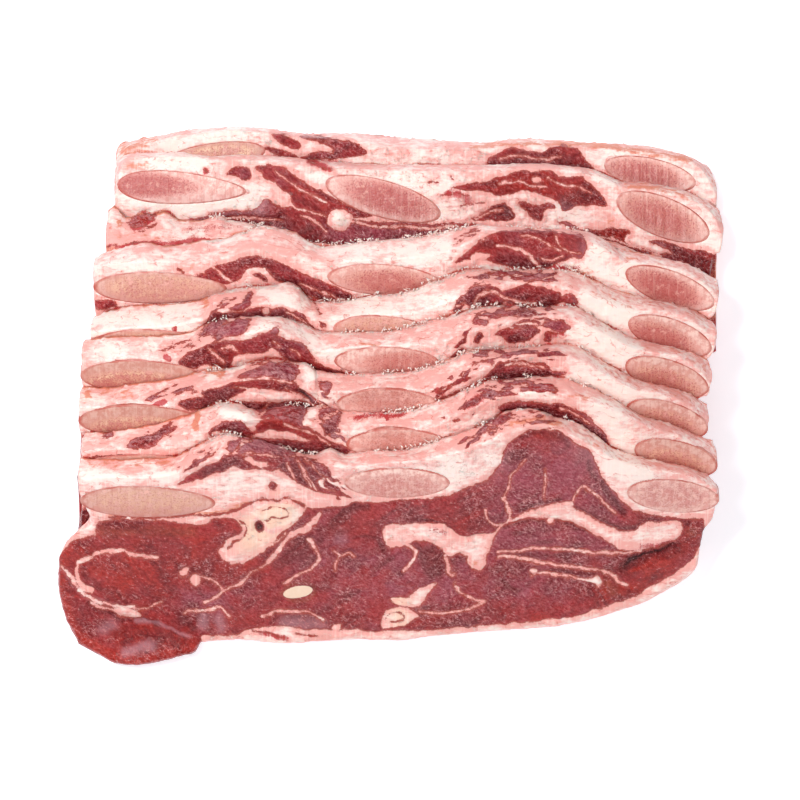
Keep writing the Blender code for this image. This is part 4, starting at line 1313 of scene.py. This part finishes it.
SLICE_7_MARKS = {
    "lean": {
        "block": [
            236, 376, 243, 371, 254, 364, 266, 360, 278, 361, 291, 362, 297, 367, 298, 373, 294, 380, 282, 380,
            262, 378, 248, 378],
        "strip": [
            222, 387, 236, 380, 258, 379, 276, 381, 292, 381, 302, 389, 312, 398, 322, 406, 310, 404, 298, 396,
            284, 391, 268, 390, 252, 389, 240, 387, 226, 391, 212, 391],
        "dark": [
            202, 392, 215, 389, 240, 388, 246, 391, 236, 397, 225, 402, 215, 403, 206, 410, 186, 410, 177, 405,
            184, 400, 196, 398, 203, 397],
        "low": [240, 402, 262, 402, 286, 402, 298, 399, 312, 407, 316, 414, 290, 414, 262, 414, 244, 410],
        "patch": [319, 382, 325, 381, 331, 384, 330, 394, 325, 395, 320, 389],
        # A dark strip along slice_8's back edge: painted shadow.
        "below": [445, 398, 455, 392, 470, 387, 481, 380, 484, 382, 472, 390, 456, 396],
        "right": [
            482, 381, 490, 372, 500, 363, 520, 361, 540, 363, 550, 366, 553, 371, 562, 371, 566, 374, 553, 378,
            530, 379, 510, 383, 495, 380],
    },
    "fat": {
        "crescent": [236, 400, 243, 393, 253, 390, 268, 391, 281, 396, 291, 401, 281, 403, 262, 402, 248, 401],
        "spot": [205, 378, 212, 375, 219, 379, 214, 384, 206, 383],
    },
    "seams": {
        "block": (0.9, [232, 370, 246, 368, 256, 366, 266, 362]),
        "block 2": (0.8, [236, 380, 252, 379, 270, 380, 292, 382]),
        "strip": (0.7, [286, 388, 298, 396, 312, 406]),
        "low": (0.8, [257, 416, 264, 408, 270, 402]),
        "right": (0.8, [505, 365, 525, 364, 545, 368]),
    },
    # A dark red line along slice_8's back edge, the crease: painted shadow.
    "threads": {"crease line": (1.7, [347, 412, 365, 410, 385, 407, 400, 408, 415, 410, 430, 405, 445, 398])},
    "shreds": {
        "rim": (0.75, 8, 5, [475, 360, 510, 352, 555, 352]),
        "middle": (0.65, 7, 40, [436, 392, 455, 382, 466, 376]),
        "left": (0.5, 6, 20, [150, 398, 190, 388]),
        "tail": (0.5, 8, -35, [318, 395, 335, 402]),
    },
    # Gap is painted shadow; low and right darken the lean just above slice_8's back edge, painted shade.
    "tone": {
        "dark": (0.6, 7, [190, 404, 215, 396, 238, 391]),
        "gap": (3, 4, [300, 393, 306, 399, 311, 406]),
        "low": (0.9, 5, [250, 404, 290, 405, 316, 410]),
        "right": (1.1, 5, [488, 378, 510, 376, 545, 374]),
        "block": (-0.5, 9, [262, 370, 285, 371]),
    },
    "hue": {
        "block": (0.7, 9, [262, 370, 285, 371]),
        "patch": (-1, 6, [325, 388]),
    },
    "blood": {
        "left": (1.6, 3, [152, 407, 159, 404, 163, 403]),
        "middle": (0.9, 3, [436, 390, 442, 394]),
        "bone": (0.6, 4, [355, 412, 410, 412]),
        "under": (0.9, 2.5, [92, 432, 120, 431, 150, 428]),
    },
    "brown": {
        "left end": (0.9, 5, [86, 388, 88, 398]),
        "left": (0.6, 6, [105, 392, 130, 394]),
        "orange": (1.2, 3.5, [214, 364, 222, 372]),
        "ring": (0.8, 2, [203, 377, 212, 373, 221, 378]),
    },
    "white": {
        "spot": (1.4, 4, [208, 380, 214, 379]),
        "tongue": (1, 4, [231, 370, 241, 364]),
        "curl": (1, 4, [300, 366, 310, 367, 312, 380]),
        "beside": (0.7, 7, [315, 398, 335, 400]),
        "right": (1, 14, [575, 374, 620, 396]),
    },
    "relief": {"curl": (1.4, 4, [302, 366, 311, 374, 314, 388])},
    "fibres": {
        "strip": (-40, 12, [290, 388, 312, 404]),
        "block": (-20, 10, [262, 370, 285, 371]),
    },
}
add_slice(
    "slice_7", fan_finish, SLICE_7_MARKS, ends=(-112, 114), visible=14,
    ridge=[
        80, 408, 160, 407, 180, 402, 205, 391, 225, 385, 260, 379, 290, 383, 310, 392, 350, 392, 390, 390, 430, 390,
        460, 380, 500, 362, 530, 354, 555, 352, 575, 360, 600, 372, 620, 383, 640, 392, 660, 394, 690, 407,
        708, 425],
    back_edge=[
        82, 387, 110, 388, 130, 384, 160, 381, 190, 375, 205, 371, 232, 368, 250, 363, 272, 359, 290, 362, 305, 365,
        315, 370, 345, 374, 380, 373, 410, 371, 430, 366, 452, 359, 465, 352, 500, 349, 540, 347, 560, 344,
        577, 347, 600, 360, 620, 371, 640, 380, 660, 385, 690, 394, 706, 404],
    ovals=[
        (140, 421, 62, 15.5, 0, 0.1), (387, 404, 51, 15, 0, 0), (667, 419, 44, 17, 22, 0)],
    looks=[(0.45, 0.7, 0, -0.4), (0.3, 0.1, 0, 0.2), (0.55, 0.4, 0, -0.3)],
)
SLICE_6_MARKS = {
    "lean": {
        "hump": [
            177, 362, 188, 354, 200, 347, 214, 342, 238, 341, 250, 337, 262, 332, 275, 333, 286, 340, 301, 342,
            309, 350, 318, 361, 332, 368, 348, 373, 336, 376, 318, 372, 305, 368, 297, 363, 290, 361, 283, 359,
            276, 354, 270, 352, 258, 356, 240, 355, 234, 361, 229, 368, 218, 369, 208, 365, 197, 369, 184, 368],
        "wedge": [205, 341, 213, 331, 226, 323, 238, 318, 251, 320, 247, 329, 240, 335, 228, 338, 216, 342],
        "grey": [198, 336, 204, 327, 214, 320, 230, 317, 222, 327, 212, 335],
        "tip": [268, 333, 276, 325, 281, 330, 278, 335],
        "block": [451, 357, 458, 350, 463, 349, 471, 358, 467, 366, 458, 373, 455, 365],
        "right": [493, 336, 500, 330, 515, 329, 530, 327, 540, 330, 532, 338, 524, 343, 510, 344, 503, 338],
        "dark spot": [472, 341, 478, 333, 484, 336, 478, 343],
        "mauve 1": [511, 327, 522, 320, 541, 322, 536, 328, 520, 329],
        "mauve 2": [543, 326, 552, 320, 566, 321, 572, 329, 560, 333, 550, 330],
        "low": [544, 333, 550, 337, 549, 343, 544, 340],
    },
    "fat": {
        "arc": [
            230, 367, 236, 357, 246, 353, 257, 354, 267, 353, 271, 348, 277, 353, 285, 361, 272, 360, 258, 361,
            245, 361, 238, 364],
        "white": [200, 342, 206, 337, 216, 338, 211, 342, 203, 344],
        "band": [241, 340, 247, 331, 258, 326, 270, 323, 268, 331, 258, 335],
    },
    "seams": {
        "line": (0.9, [223, 348, 230, 347, 238, 350]),
        "tick": (1, [208, 350, 217, 356, 223, 363]),
        "fleck 1": (0.7, [272, 341, 278, 346]),
        "fleck 4": (0.6, [290, 350, 300, 356]),
        "edge": (0.9, [316, 361, 330, 367, 345, 372]),
        "mauve": (0.7, [516, 325, 530, 324, 540, 326]),
    },
    "threads": {
        "left 1": (0.8, [164, 350, 175, 344, 186, 341, 198, 341]),
        "left 2": (0.9, [116, 361, 125, 364, 133, 363, 137, 366]),
        "right 1": (1.1, [548, 334, 556, 334, 568, 332]),
    },
    "shreds": {
        "rim": (0.8, 8, 3, [478, 318, 510, 312, 545, 315]),
        "middle": (0.65, 6, 40, [455, 345, 466, 334]),
        "left": (0.5, 6, 20, [165, 352, 190, 345]),
    },
    # Low right darkens the lean just above slice_7's back edge: painted shadow.
    "tone": {
        "left": (0.5, 6, [190, 360, 215, 356, 225, 358]),
        "low right": (1, 4.5, [300, 364, 322, 370, 342, 374]),
        "right": (0.9, 4, [505, 337, 522, 340]),
        "spot": (0.8, 4, [478, 338]),
        "block": (0.4, 6, [460, 362]),
        "wedge": (-0.7, 6, [225, 332, 242, 324]),
    },
    "hue": {
        "wedge": (0.9, 7, [222, 334, 242, 324]),
        "grey": (1.2, 5, [208, 330, 216, 324]),
        "block": (1.2, 8, [460, 362]),
        "mauve": (1, 7, [524, 325, 556, 326]),
    },
    "blood": {
        "spot": (2, 2.2, [165, 357, 168, 360]),
        "right": (0.7, 4, [548, 336, 562, 333]),
    },
    "brown": {
        "dashes": (0.7, 2, [358, 344, 380, 344]),
        "low left": (0.9, 5, [212, 366, 222, 370]),
    },
    "white": {
        "left": (0.9, 12, [100, 350, 150, 350]),
        "cap": (1, 7, [265, 324, 295, 330, 310, 342]),
        "band": (1, 4, [246, 335, 262, 329]),
        "right": (1, 14, [580, 332, 625, 352]),
    },
    "relief": {"block": (0.9, 6, [460, 361])},
    "fibres": {"hump": (-38, 16, [270, 345, 310, 360])},
}
add_slice(
    "slice_6", fan_finish, SLICE_6_MARKS, ends=(-111, 115), visible=16,
    ridge=[
        83, 362, 150, 361, 180, 357, 200, 347, 225, 338, 255, 332, 275, 328, 295, 339, 310, 348, 325, 352, 350, 348,
        390, 346, 430, 345, 465, 334, 500, 324, 540, 318, 560, 318, 580, 322, 600, 333, 620, 343, 635, 350,
        655, 353, 680, 358, 700, 371, 710, 385],
    back_edge=[
        90, 340, 110, 337, 140, 336, 170, 335, 190, 332, 205, 325, 220, 320, 245, 317, 270, 317, 290, 319, 305, 325,
        320, 331, 350, 332, 390, 331, 415, 325, 440, 319, 460, 313, 480, 306, 540, 307, 560, 306, 577, 308,
        590, 314, 600, 321, 620, 332, 640, 340, 670, 347, 700, 356, 712, 362],
    ovals=[
        (140, 376, 60, 15.5, 0, 0.1), (387, 362, 53, 15, 2, 0), (667, 377, 45, 17, 22, 0)],
    looks=[(0.55, 0.7, -0.1, -0.4), (0.5, 0.1, 0.35, -0.1), (0.6, 0.4, 0, -0.3)],
)
SLICE_5_MARKS = {
    "lean": {
        "strip": [
            204, 330, 207, 321, 212, 313, 225, 313, 240, 312, 250, 308, 262, 306, 272, 309, 283, 308, 290, 312,
            299, 312, 307, 320, 314, 328, 322, 334, 308, 332, 296, 326, 270, 322, 250, 322, 225, 326, 210, 332],
        "mauve 1": [213, 313, 220, 303, 228, 298, 236, 297, 230, 304, 221, 310],
        "mauve 2": [227, 311, 240, 303, 249, 291, 254, 295, 250, 306, 240, 311],
        "dot": [317, 321, 324, 323, 327, 327, 320, 327],
        "right hook": [463, 300, 466, 292, 474, 286, 492, 286, 502, 290, 504, 304, 494, 308, 476, 308, 468, 306],
        "right": [
            499, 293, 506, 289, 518, 287, 526, 284, 536, 287, 550, 289, 559, 292, 562, 296, 569, 293, 576, 297,
            579, 304, 572, 307, 562, 303, 548, 308, 530, 308, 512, 306, 502, 300],
    },
    "fat": {
        "spot": [262, 309, 268, 308, 270, 314, 264, 315],
        "blob": [504, 281, 509, 277, 512, 282, 508, 287],
    },
    "seams": {
        "mauve": (0.7, [218, 308, 226, 302, 232, 299]),
        "strip": (0.6, [286, 314, 300, 320, 310, 328]),
        "right": (1.1, [474, 306, 478, 297, 487, 292, 497, 293, 506, 298, 520, 303, 535, 304]),
    },
    "threads": {
        "right line": (0.8, [312, 297, 317, 306, 322, 316]),
        "dark": (1, [459, 304, 466, 300, 470, 298]),
    },
    "shreds": {
        "rim": (0.8, 8, 0, [475, 280, 505, 274, 550, 276]),
        "left": (0.6, 6, 35, [455, 308, 468, 296]),
    },
    # Strip darkens the lean just above slice_6's back edge: painted shade.
    "tone": {
        "strip": (0.8, 5, [212, 318, 250, 315, 290, 316, 314, 330]),
        "vein": (1.8, 4, [484, 301]),
        "right": (0.6, 5, [510, 296, 550, 299]),
        "mauve": (-0.7, 4, [222, 305, 232, 300]),
    },
    "hue": {
        "mauve": (0.9, 6, [220, 306, 246, 300]),
        "right end": (-1, 4, [570, 298, 577, 303]),
    },
    "blood": {"spot": (1.8, 2, [174, 329, 176, 332])},
    "brown": {
        "orange": (0.8, 4, [204, 298, 206, 306]),
        "spot": (0.9, 1.5, [184, 316]),
    },
    "white": {
        "left": (1.1, 13, [100, 322, 190, 316]),
        "middle": (1.1, 12, [350, 308, 440, 300]),
        "cap": (0.7, 9, [270, 296, 300, 303]),
        "right": (1.1, 14, [590, 300, 630, 312]),
    },
    "fibres": {"strip": (-20, 10, [225, 316, 300, 318])},
}
add_slice(
    "slice_5", fan_finish, SLICE_5_MARKS, ends=(-108, 117), visible=14,
    ridge=[
        92, 333, 120, 329, 160, 327, 200, 321, 215, 314, 240, 308, 265, 304, 290, 307, 305, 315, 320, 320, 345, 319,
        380, 316, 420, 312, 450, 302, 480, 288, 510, 285, 545, 284, 590, 296, 630, 312, 655, 311, 690, 320,
        710, 335],
    back_edge=[
        96, 316, 110, 311, 130, 306, 150, 305, 180, 303, 200, 300, 220, 292, 240, 288, 265, 286, 288, 283, 297, 286,
        305, 294, 312, 300, 340, 301, 370, 296, 410, 291, 425, 284, 445, 278, 465, 270, 500, 270, 560, 269,
        585, 276, 600, 283, 620, 291, 640, 297, 660, 301, 690, 309, 712, 322, 718, 330],
    ovals=[
        (150, 345, 60, 15.5, 0, 0.1), (383, 331, 50, 15, 4, 0), (670, 336, 45, 17, 22, 0)],
    looks=[(0.3, 0.5, 0, 0), (0.2, 0.4, 0, 0), (0.8, 0.2, -0.2, -0.1)],
)
SLICE_4_MARKS = {
    "lean": {
        "hump": [
            204, 270, 218, 265, 232, 261, 252, 255, 265, 257, 277, 261, 295, 269, 312, 277, 330, 285, 345, 291,
            354, 298, 348, 304, 326, 303, 310, 298, 298, 289, 285, 284, 276, 281, 268, 272, 260, 268, 250, 268,
            243, 274, 235, 283, 222, 285, 214, 279, 206, 275],
        "left": [196, 277, 203, 273, 212, 276, 218, 283, 210, 284, 200, 281],
        "crescent": [252, 274, 260, 273, 268, 281, 262, 282, 256, 277],
        "left end": [94, 300, 104, 299, 118, 303, 114, 309, 98, 310],
        "right": [
            455, 264, 463, 254, 473, 246, 486, 236, 500, 231, 516, 229, 530, 228, 559, 231, 580, 234, 587, 242,
            586, 253, 579, 260, 563, 262, 548, 268, 530, 270, 512, 268, 497, 264, 480, 260, 466, 262],
    },
    "fat": {
        "blob": [562, 268, 566, 260, 574, 258, 580, 263, 575, 270],
        "left notch": [470, 258, 480, 253, 490, 254, 485, 260, 474, 262],
    },
    "seams": {
        "diagonal": (1.2, [497, 246, 508, 247, 518, 249, 530, 256, 539, 267]),
        "pale 1": (0.8, [214, 268, 222, 275, 232, 283]),
        "streak 2": (0.6, [300, 284, 318, 292, 338, 299]),
        "right 1": (0.7, [520, 236, 535, 238, 548, 245, 560, 250]),
        "right 2": (0.7, [556, 236, 560, 246, 570, 253, 580, 254]),
        "right 4": (0.8, [540, 258, 552, 260, 562, 256]),
    },
    "threads": {
        "vein": (1.5, [179, 269, 184, 272]),
        "stripe": (0.9, [455, 238, 466, 233, 478, 231]),
    },
    "shreds": {"rim": (0.45, 6, 10, [455, 240, 475, 232])},
    # Hump right and right low darken the lean just above slice_5's back edge: painted shade.
    "tone": {
        "hump right": (0.7, 6, [285, 278, 310, 290, 345, 300]),
        "right low": (0.9, 6, [500, 258, 530, 264, 560, 264]),
    },
    "blood": {
        "left": (0.6, 4, [198, 278, 210, 283]),
        "right": (0.6, 5, [545, 270, 580, 268]),
    },
    "brown": {
        "vein": (1.2, 3, [182, 271]),
        "spot": (0.9, 3, [192, 267]),
        "end": (0.6, 5, [560, 272, 590, 270]),
    },
    "white": {
        "middle": (0.9, 12, [350, 252, 440, 248]),
        "left": (0.7, 8, [110, 262, 160, 258]),
        "right": (1, 14, [592, 255, 625, 275]),
        "blob": (1, 4, [571, 264]),
        "under left": (0.9, 6, [170, 306, 195, 300]),
    },
    "relief": {"blob": (0.8, 4, [571, 264])},
    "fibres": {
        "hump": (-35, 14, [285, 276, 335, 294]),
        "right": (-18, 14, [500, 245, 570, 250]),
    },
}
add_slice(
    "slice_4", fan_finish, SLICE_4_MARKS, ends=(-107, 118), visible=18,
    ridge=[
        95, 270, 110, 264, 150, 262, 200, 262, 232, 256, 250, 250, 270, 252, 290, 257, 330, 264, 350, 261, 440, 255,
        470, 242, 485, 233, 560, 234, 585, 240, 605, 250, 625, 262, 650, 264, 680, 270, 700, 281, 718, 297],
    back_edge=[
        98, 257, 104, 253, 131, 246, 147, 242, 156, 245, 167, 247, 184, 244, 200, 241, 220, 239, 245, 232, 258, 227,
        270, 226, 283, 230, 299, 235, 309, 242, 321, 247, 334, 245, 350, 244, 370, 241, 400, 239, 430, 235,
        450, 230, 475, 226, 500, 228, 550, 230, 580, 231, 592, 234, 605, 240, 617, 249, 650, 255, 690, 266,
        714, 278, 722, 281],
    ovals=[
        (160, 288, 67, 15.5, 1, 0.15), (384, 280, 57, 15.5, 4, 0),
        (670, 288, 48, 17, 22, 0)],
    looks=[(0.35, 0.5, 0, 0), (0.75, 0.2, 0.1, -0.15), (0.95, 0.1, -0.1, 0)],
)
SLICE_3_MARKS = {
    "lean": {"clot": [128, 226, 132, 218, 141, 213, 152, 212, 157, 216, 150, 222, 140, 226]},
    "threads": {
        "streak": (1, [141, 231, 150, 227, 158, 224]),
        "line": (0.7, [108, 246, 125, 243, 150, 243, 170, 245, 205, 239]),
    },
    "tone": {"clot": (-0.5, 6, [142, 219])},
    "hue": {"clot": (-1.2, 8, [142, 219])},
    "blood": {
        "clot": (1.5, 5, [135, 224, 150, 217]),
        "line": (0.8, 2, [110, 246, 150, 243, 208, 239]),
        "fold": (0.5, 6, [190, 230, 230, 226]),
    },
    "brown": {
        "spots": (1, 4, [118, 223]),
        "tip": (0.8, 5, [106, 249, 128, 248]),
        "membrane": (0.4, 9, [120, 236, 180, 236]),
    },
    "white": {"low": (0.6, 6, [150, 250, 200, 236])},
}
add_slice(
    "slice_3", fan_finish, SLICE_3_MARKS, ends=(-103, 117), visible=8,
    ridge=[
        104, 254, 131, 248, 160, 249, 200, 246, 250, 235, 300, 244, 350, 247, 400, 243, 450, 234, 500, 232,
        560, 235, 600, 242, 650, 260, 690, 272, 716, 284],
    back_edge=[
        104, 225, 112, 206, 120, 210, 126, 217, 143, 212, 151, 214, 167, 212, 177, 219, 192, 220, 202, 221,
        207, 219, 215, 217, 223, 216, 227, 219, 234, 221, 245, 222, 258, 226, 283, 233, 309, 243, 350, 246,
        400, 241, 450, 232, 500, 230, 560, 233, 600, 240, 650, 257, 690, 268, 716, 280],
    ovals=[
        (175, 262, 60, 15.5, 0, 0.1), (384, 262, 50, 15, 4, 0), (665, 278, 40, 15, 22, 0)],
    looks=[(0.3, 0.8, 0, 0), (0.3, 0.2, 0, 0), (0.5, 0.3, 0, 0)],
)

flat_finish = beef_material("beef_flat")
SLICE_2_MARKS = {
    "lean": {
        "blob": [227, 174, 234, 168, 246, 166, 252, 173, 248, 181, 236, 178],
        "diagonal": [
            255, 167, 270, 165, 282, 166, 292, 173, 306, 183, 319, 190, 332, 196, 346, 204, 360, 210, 374, 216,
            352, 219, 330, 217, 318, 213, 306, 211, 292, 204, 287, 194, 276, 183, 264, 178],
        "lower": [
            190, 219, 210, 214, 235, 211, 255, 209, 264, 201, 276, 198, 290, 206, 310, 213, 345, 219, 380, 221,
            410, 223, 440, 223, 458, 222, 480, 226, 500, 231, 500, 245, 400, 262, 250, 240, 200, 226],
        "right": [
            452, 188, 470, 184, 486, 181, 500, 177, 512, 173, 528, 171, 550, 171, 560, 176, 580, 176, 588, 181,
            597, 189, 604, 197, 607, 207, 594, 206, 579, 206, 563, 211, 559, 203, 548, 199, 534, 193, 519, 192,
            500, 197, 484, 191, 468, 191],
        "crescent": [470, 220, 484, 211, 500, 204, 509, 206, 517, 216, 508, 221, 492, 220],
        "crescent 2": [518, 204, 524, 202, 536, 205, 551, 204, 556, 208, 545, 211, 541, 220, 533, 219, 526, 211],
        "lower right": [
            579, 230, 596, 229, 610, 228, 628, 230, 634, 236, 645, 241, 657, 239, 676, 246, 704, 251, 724, 266,
            728, 300, 700, 300, 640, 262, 600, 245],
        "end line": [557, 222, 566, 222, 580, 228, 572, 230],
    },
    "fat": {
        "island": [533, 180, 537, 177, 540, 181, 536, 183],
        "vessel": [330, 214, 336, 210, 346, 211, 352, 217, 350, 226, 342, 231, 333, 228, 327, 221],
        "wedge": [624, 240, 634, 234, 646, 240, 662, 248, 672, 254, 655, 253, 638, 247],
        "swirl": [254, 186, 262, 183, 272, 186, 284, 196, 290, 206, 280, 206, 268, 200, 258, 196],
    },
    "seams": {
        "right 1": (0.8, [500, 184, 515, 181, 530, 186, 545, 188]),
        "right 2": (0.6, [548, 178, 560, 184, 575, 186, 590, 192]),
        "left 1": (0.7, [276, 170, 290, 182, 306, 192, 326, 202]),
        "lower 1": (0.8, [300, 216, 318, 222, 325, 232]),
        "lower 2": (0.9, [352, 222, 380, 226, 420, 228, 460, 226]),
        "lower 3": (0.7, [205, 222, 240, 218, 280, 220]),
        "crescent": (0.7, [476, 218, 490, 212, 504, 210]),
        "edge": (0.9, [596, 236, 616, 240, 632, 246, 660, 256]),
    },
    "threads": {
        "streak": (1, [309, 161, 318, 166, 331, 170]),
        "dash": (1.1, [429, 182, 437, 182]),
        "dot 1": (1, [451, 177, 453, 179]),
        "spot 1": (1.3, [205, 170, 207, 172]),
        "fan 1": (0.7, [440, 196, 455, 194, 470, 196]),
        "fan 3": (0.6, [460, 206, 472, 204, 484, 203]),
    },
    # Lower, crescents and lower right darken the face under slice_3's raised edge: painted shadow.
    "tone": {
        "lower": (0.8, 9, [210, 222, 260, 222, 290, 226, 320, 236]),
        "right": (0.4, 8, [540, 184, 590, 196]),
        "crescents": (0.6, 6, [490, 216, 530, 212]),
        "lower right": (0.9, 9, [640, 256, 690, 262, 722, 282]),
        "mauve": (-0.4, 8, [325, 234, 350, 232, 380, 234]),
    },
    "hue": {
        "lower middle": (0.8, 12, [330, 232, 440, 232]),
        "right": (-0.5, 14, [500, 184, 590, 194]),
        "lower right": (-0.4, 10, [600, 235, 700, 262]),
        "red patch": (-1.2, 5, [612, 231, 630, 233]),
    },
    "blood": {
        "spot": (1.6, 2.6, [206, 171]),
        "streak": (0.9, 3, [308, 161, 330, 170]),
        "fan": (0.8, 5, [448, 192, 470, 200]),
    },
    "brown": {
        "rim": (0.8, 5, [128, 166, 148, 164]),
        "right": (0.5, 7, [590, 214, 612, 222]),
        "right edge": (0.6, 3.5, [610, 190, 650, 189, 690, 200]),
    },
    "white": {
        "cartilage": (1.4, 9, [175, 209, 240, 203, 258, 204]),
        "top rim": (1, 8, [150, 166, 200, 164]),
        "curl": (1.1, 5, [313, 177, 328, 182]),
        "middle": (0.7, 12, [400, 178, 440, 188]),
        "low middle": (0.9, 8, [440, 212, 400, 216]),
        "right": (0.9, 10, [580, 220, 560, 214]),
        "wedge": (1, 5, [640, 242, 660, 249]),
        "vessel": (1.2, 4, [338, 219]),
        "right rim": (0.8, 8, [610, 184, 600, 172]),
    },
    "relief": {"vessel": (0.9, 5, [339, 220])},
    "fibres": {
        "diagonal": (-32, 14, [290, 186, 350, 214]),
        "right": (-12, 14, [500, 184, 590, 196]),
        "lower right": (-22, 14, [620, 245, 710, 270]),
    },
}
add_slice(
    "slice_2", flat_finish, SLICE_2_MARKS, ends=(-100, 120), visible=40,
    ridge=[
        117, 192, 119, 175, 126, 161, 150, 158, 180, 157, 212, 160, 240, 160, 290, 164, 345, 170, 385, 171,
        440, 171, 500, 170, 560, 170, 600, 178, 625, 188, 650, 190, 680, 196, 700, 205, 713, 216, 721, 235],
    back_edge=[
        117, 185, 118, 165, 125, 156, 150, 154, 180, 154, 212, 158, 240, 156, 290, 158, 315, 161, 345, 163,
        370, 165, 440, 165, 500, 166, 520, 164, 560, 166, 590, 170, 620, 181, 650, 184, 680, 190, 700, 198,
        712, 205, 720, 215, 722, 240],
    ovals=[
        (182, 188, 65, 16, 3, 0.3), (383, 199, 60, 18.5, 16, 0),
        (663, 217, 50, 20, 22, 0)],
    looks=[(1, 0, -0.55, 0.2), (1, 0, 0.1, 0), (0.9, 0.2, -0.05, 0)],
)
SLICE_1_MARKS = {
    "lean": {
        "left": [
            300, 136, 320, 135, 340, 139, 355, 143, 369, 153, 352, 157, 330, 160, 312, 161, 298, 158, 318, 152,
            334, 149, 322, 143, 308, 141],
        "streaks": [270, 136, 282, 134, 298, 142, 300, 150, 290, 150, 282, 144],
        "streaks 2": [262, 148, 276, 148, 292, 154, 298, 160, 280, 157],
        "right": [
            486, 162, 500, 151, 515, 147, 529, 151, 544, 152, 551, 148, 563, 145, 577, 149, 583, 158, 592, 167,
            610, 178, 590, 176, 540, 175, 500, 172],
    },
    "seams": {
        "left 2": (0.8, [300, 150, 316, 149, 332, 151]),
        "right": (0.7, [500, 158, 520, 156, 540, 160, 560, 157]),
    },
    # Right darkens the lean just behind slice_2's back edge: painted shade.
    "tone": {"right": (0.5, 8, [520, 156, 590, 168])},
    "brown": {
        "rim": (0.8, 7, [122, 150, 155, 140]),
        "band": (0.7, 3.5, [308, 139, 328, 140]),
        "right rim": (0.8, 4, [470, 147, 520, 144, 600, 146, 690, 162]),
    },
    "white": {
        "cartilage": (1.1, 8, [170, 144, 215, 138, 240, 134]),
        "right": (0.8, 6, [610, 152, 690, 172]),
    },
}
add_slice(
    "slice_1", flat_finish, SLICE_1_MARKS, ends=(-100, 118), visible=14,
    ridge=[
        116, 175, 120, 160, 130, 150, 160, 142, 175, 136, 200, 134, 235, 131, 270, 133, 300, 138, 350, 140,
        390, 148, 450, 150, 490, 149, 515, 146, 560, 147, 600, 148, 640, 152, 670, 157, 700, 168, 716, 195],
    back_edge=[
        116, 165, 118, 146, 130, 142, 145, 139, 160, 136, 190, 131, 235, 128, 260, 129, 300, 134, 350, 134,
        390, 137, 450, 141, 490, 143, 515, 139, 560, 141, 600, 144, 650, 147, 680, 155, 700, 163, 710, 171,
        716, 190],
    ovals=[
        (214, 157, 52, 14, -8, 0), (385, 180, 50, 15, 10, 0), (650, 174, 47, 16, 12, 0)],
    looks=[(0.5, 0.8, 0, 0), (0.3, 0.2, 0, 0), (0.95, 0.1, -0.1, 0)],
)


# --- Saw crumbs -------------------------------------------------------------------------------------
# The saw leaves white crumbs and splinters of fat and bone on the back edge of each cut.  Each is a chip
# of eight faces, half sunk in the wet edge; all of them are one mesh.

CRUMBS_PER_SLICE = 280
CRUMB_ENDS = (-66, 72)           # X from where to where the saw leaves them
SPLINTER_SHARE = 0.07
SPLINTER_STRETCH = (3.2, 0.6, 0.6)


def crumb_finish():
    """Wet off-white, pinker in places."""
    finish, tree, shader = see_through_finish("wet_crumb", 0.3, (1.0, 0.7, 0.6), 0.0006)
    _, _, mixed, rough, eased = node_makers(tree, 0.5)
    colour = mixed(eased(rough(420.0, 2.0), 0.45, 0.65), (0.92, 0.80, 0.75, 1), (0.86, 0.56, 0.50, 1))
    tree.links.new(colour, shader.inputs["Base Color"])
    shader.inputs["Roughness"].default_value = 0.35
    return finish


def saw_crumbs():
    """Chips: an octahedron's points times three random half sizes, bent by noise and turned at random."""
    rng = np.random.default_rng(2024)
    centres = []
    for name, edge in back_edges.items():
        if name in FLAT_SLICES:
            continue
        x = rng.uniform(*CRUMB_ENDS, CRUMBS_PER_SLICE)
        x = x[noise(x, 0 * x + 3.0 * len(centres), 0 * x, 7.0, 41) > -0.2]
        y = edge_from_picture(name, edge, x, back_height) + rng.uniform(-0.5, 1.3, len(x))
        centres.append(np.stack([x, y, back_height(name, x, y) + rng.uniform(0.8, 2.0, len(x))], -1))
    centres = np.concatenate(centres)
    count = len(centres)
    half = np.stack([rng.uniform(low, high, count) for low, high in ((0.3, 1.0), (0.2, 0.55), (0.15, 0.4))], -1)
    half[rng.random(count) < SPLINTER_SHARE] *= SPLINTER_STRETCH
    corners = np.array([(1, 0, 0), (-1, 0, 0), (0, 1, 0), (0, -1, 0), (0, 0, 1), (0, 0, -1)], float)
    chips = corners[None] * half[:, None] * rng.uniform(0.6, 1.3, (count, 6, 1))
    chips += rng.uniform(-0.3, 0.3, (count, 6, 3)) * half[:, None]
    turns = np.linalg.qr(rng.normal(size=(count, 3, 3)))[0]
    turns[:, :, 2] *= np.sign(np.linalg.det(turns))[:, None]
    points = (np.einsum("nij,nkj->nki", turns, chips) + centres[:, None]).reshape(-1, 3)
    faces = np.array([(0, 2, 4), (2, 1, 4), (1, 3, 4), (3, 0, 4), (2, 0, 5), (1, 2, 5), (3, 1, 5), (0, 3, 5)])
    faces = (faces[None] + 6 * np.arange(count)[:, None, None]).reshape(-1, 3)
    made = new_mesh("saw_crumbs", points, [faces])
    made.data.materials.append(crumb_finish())
    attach(made, "root")


saw_crumbs()
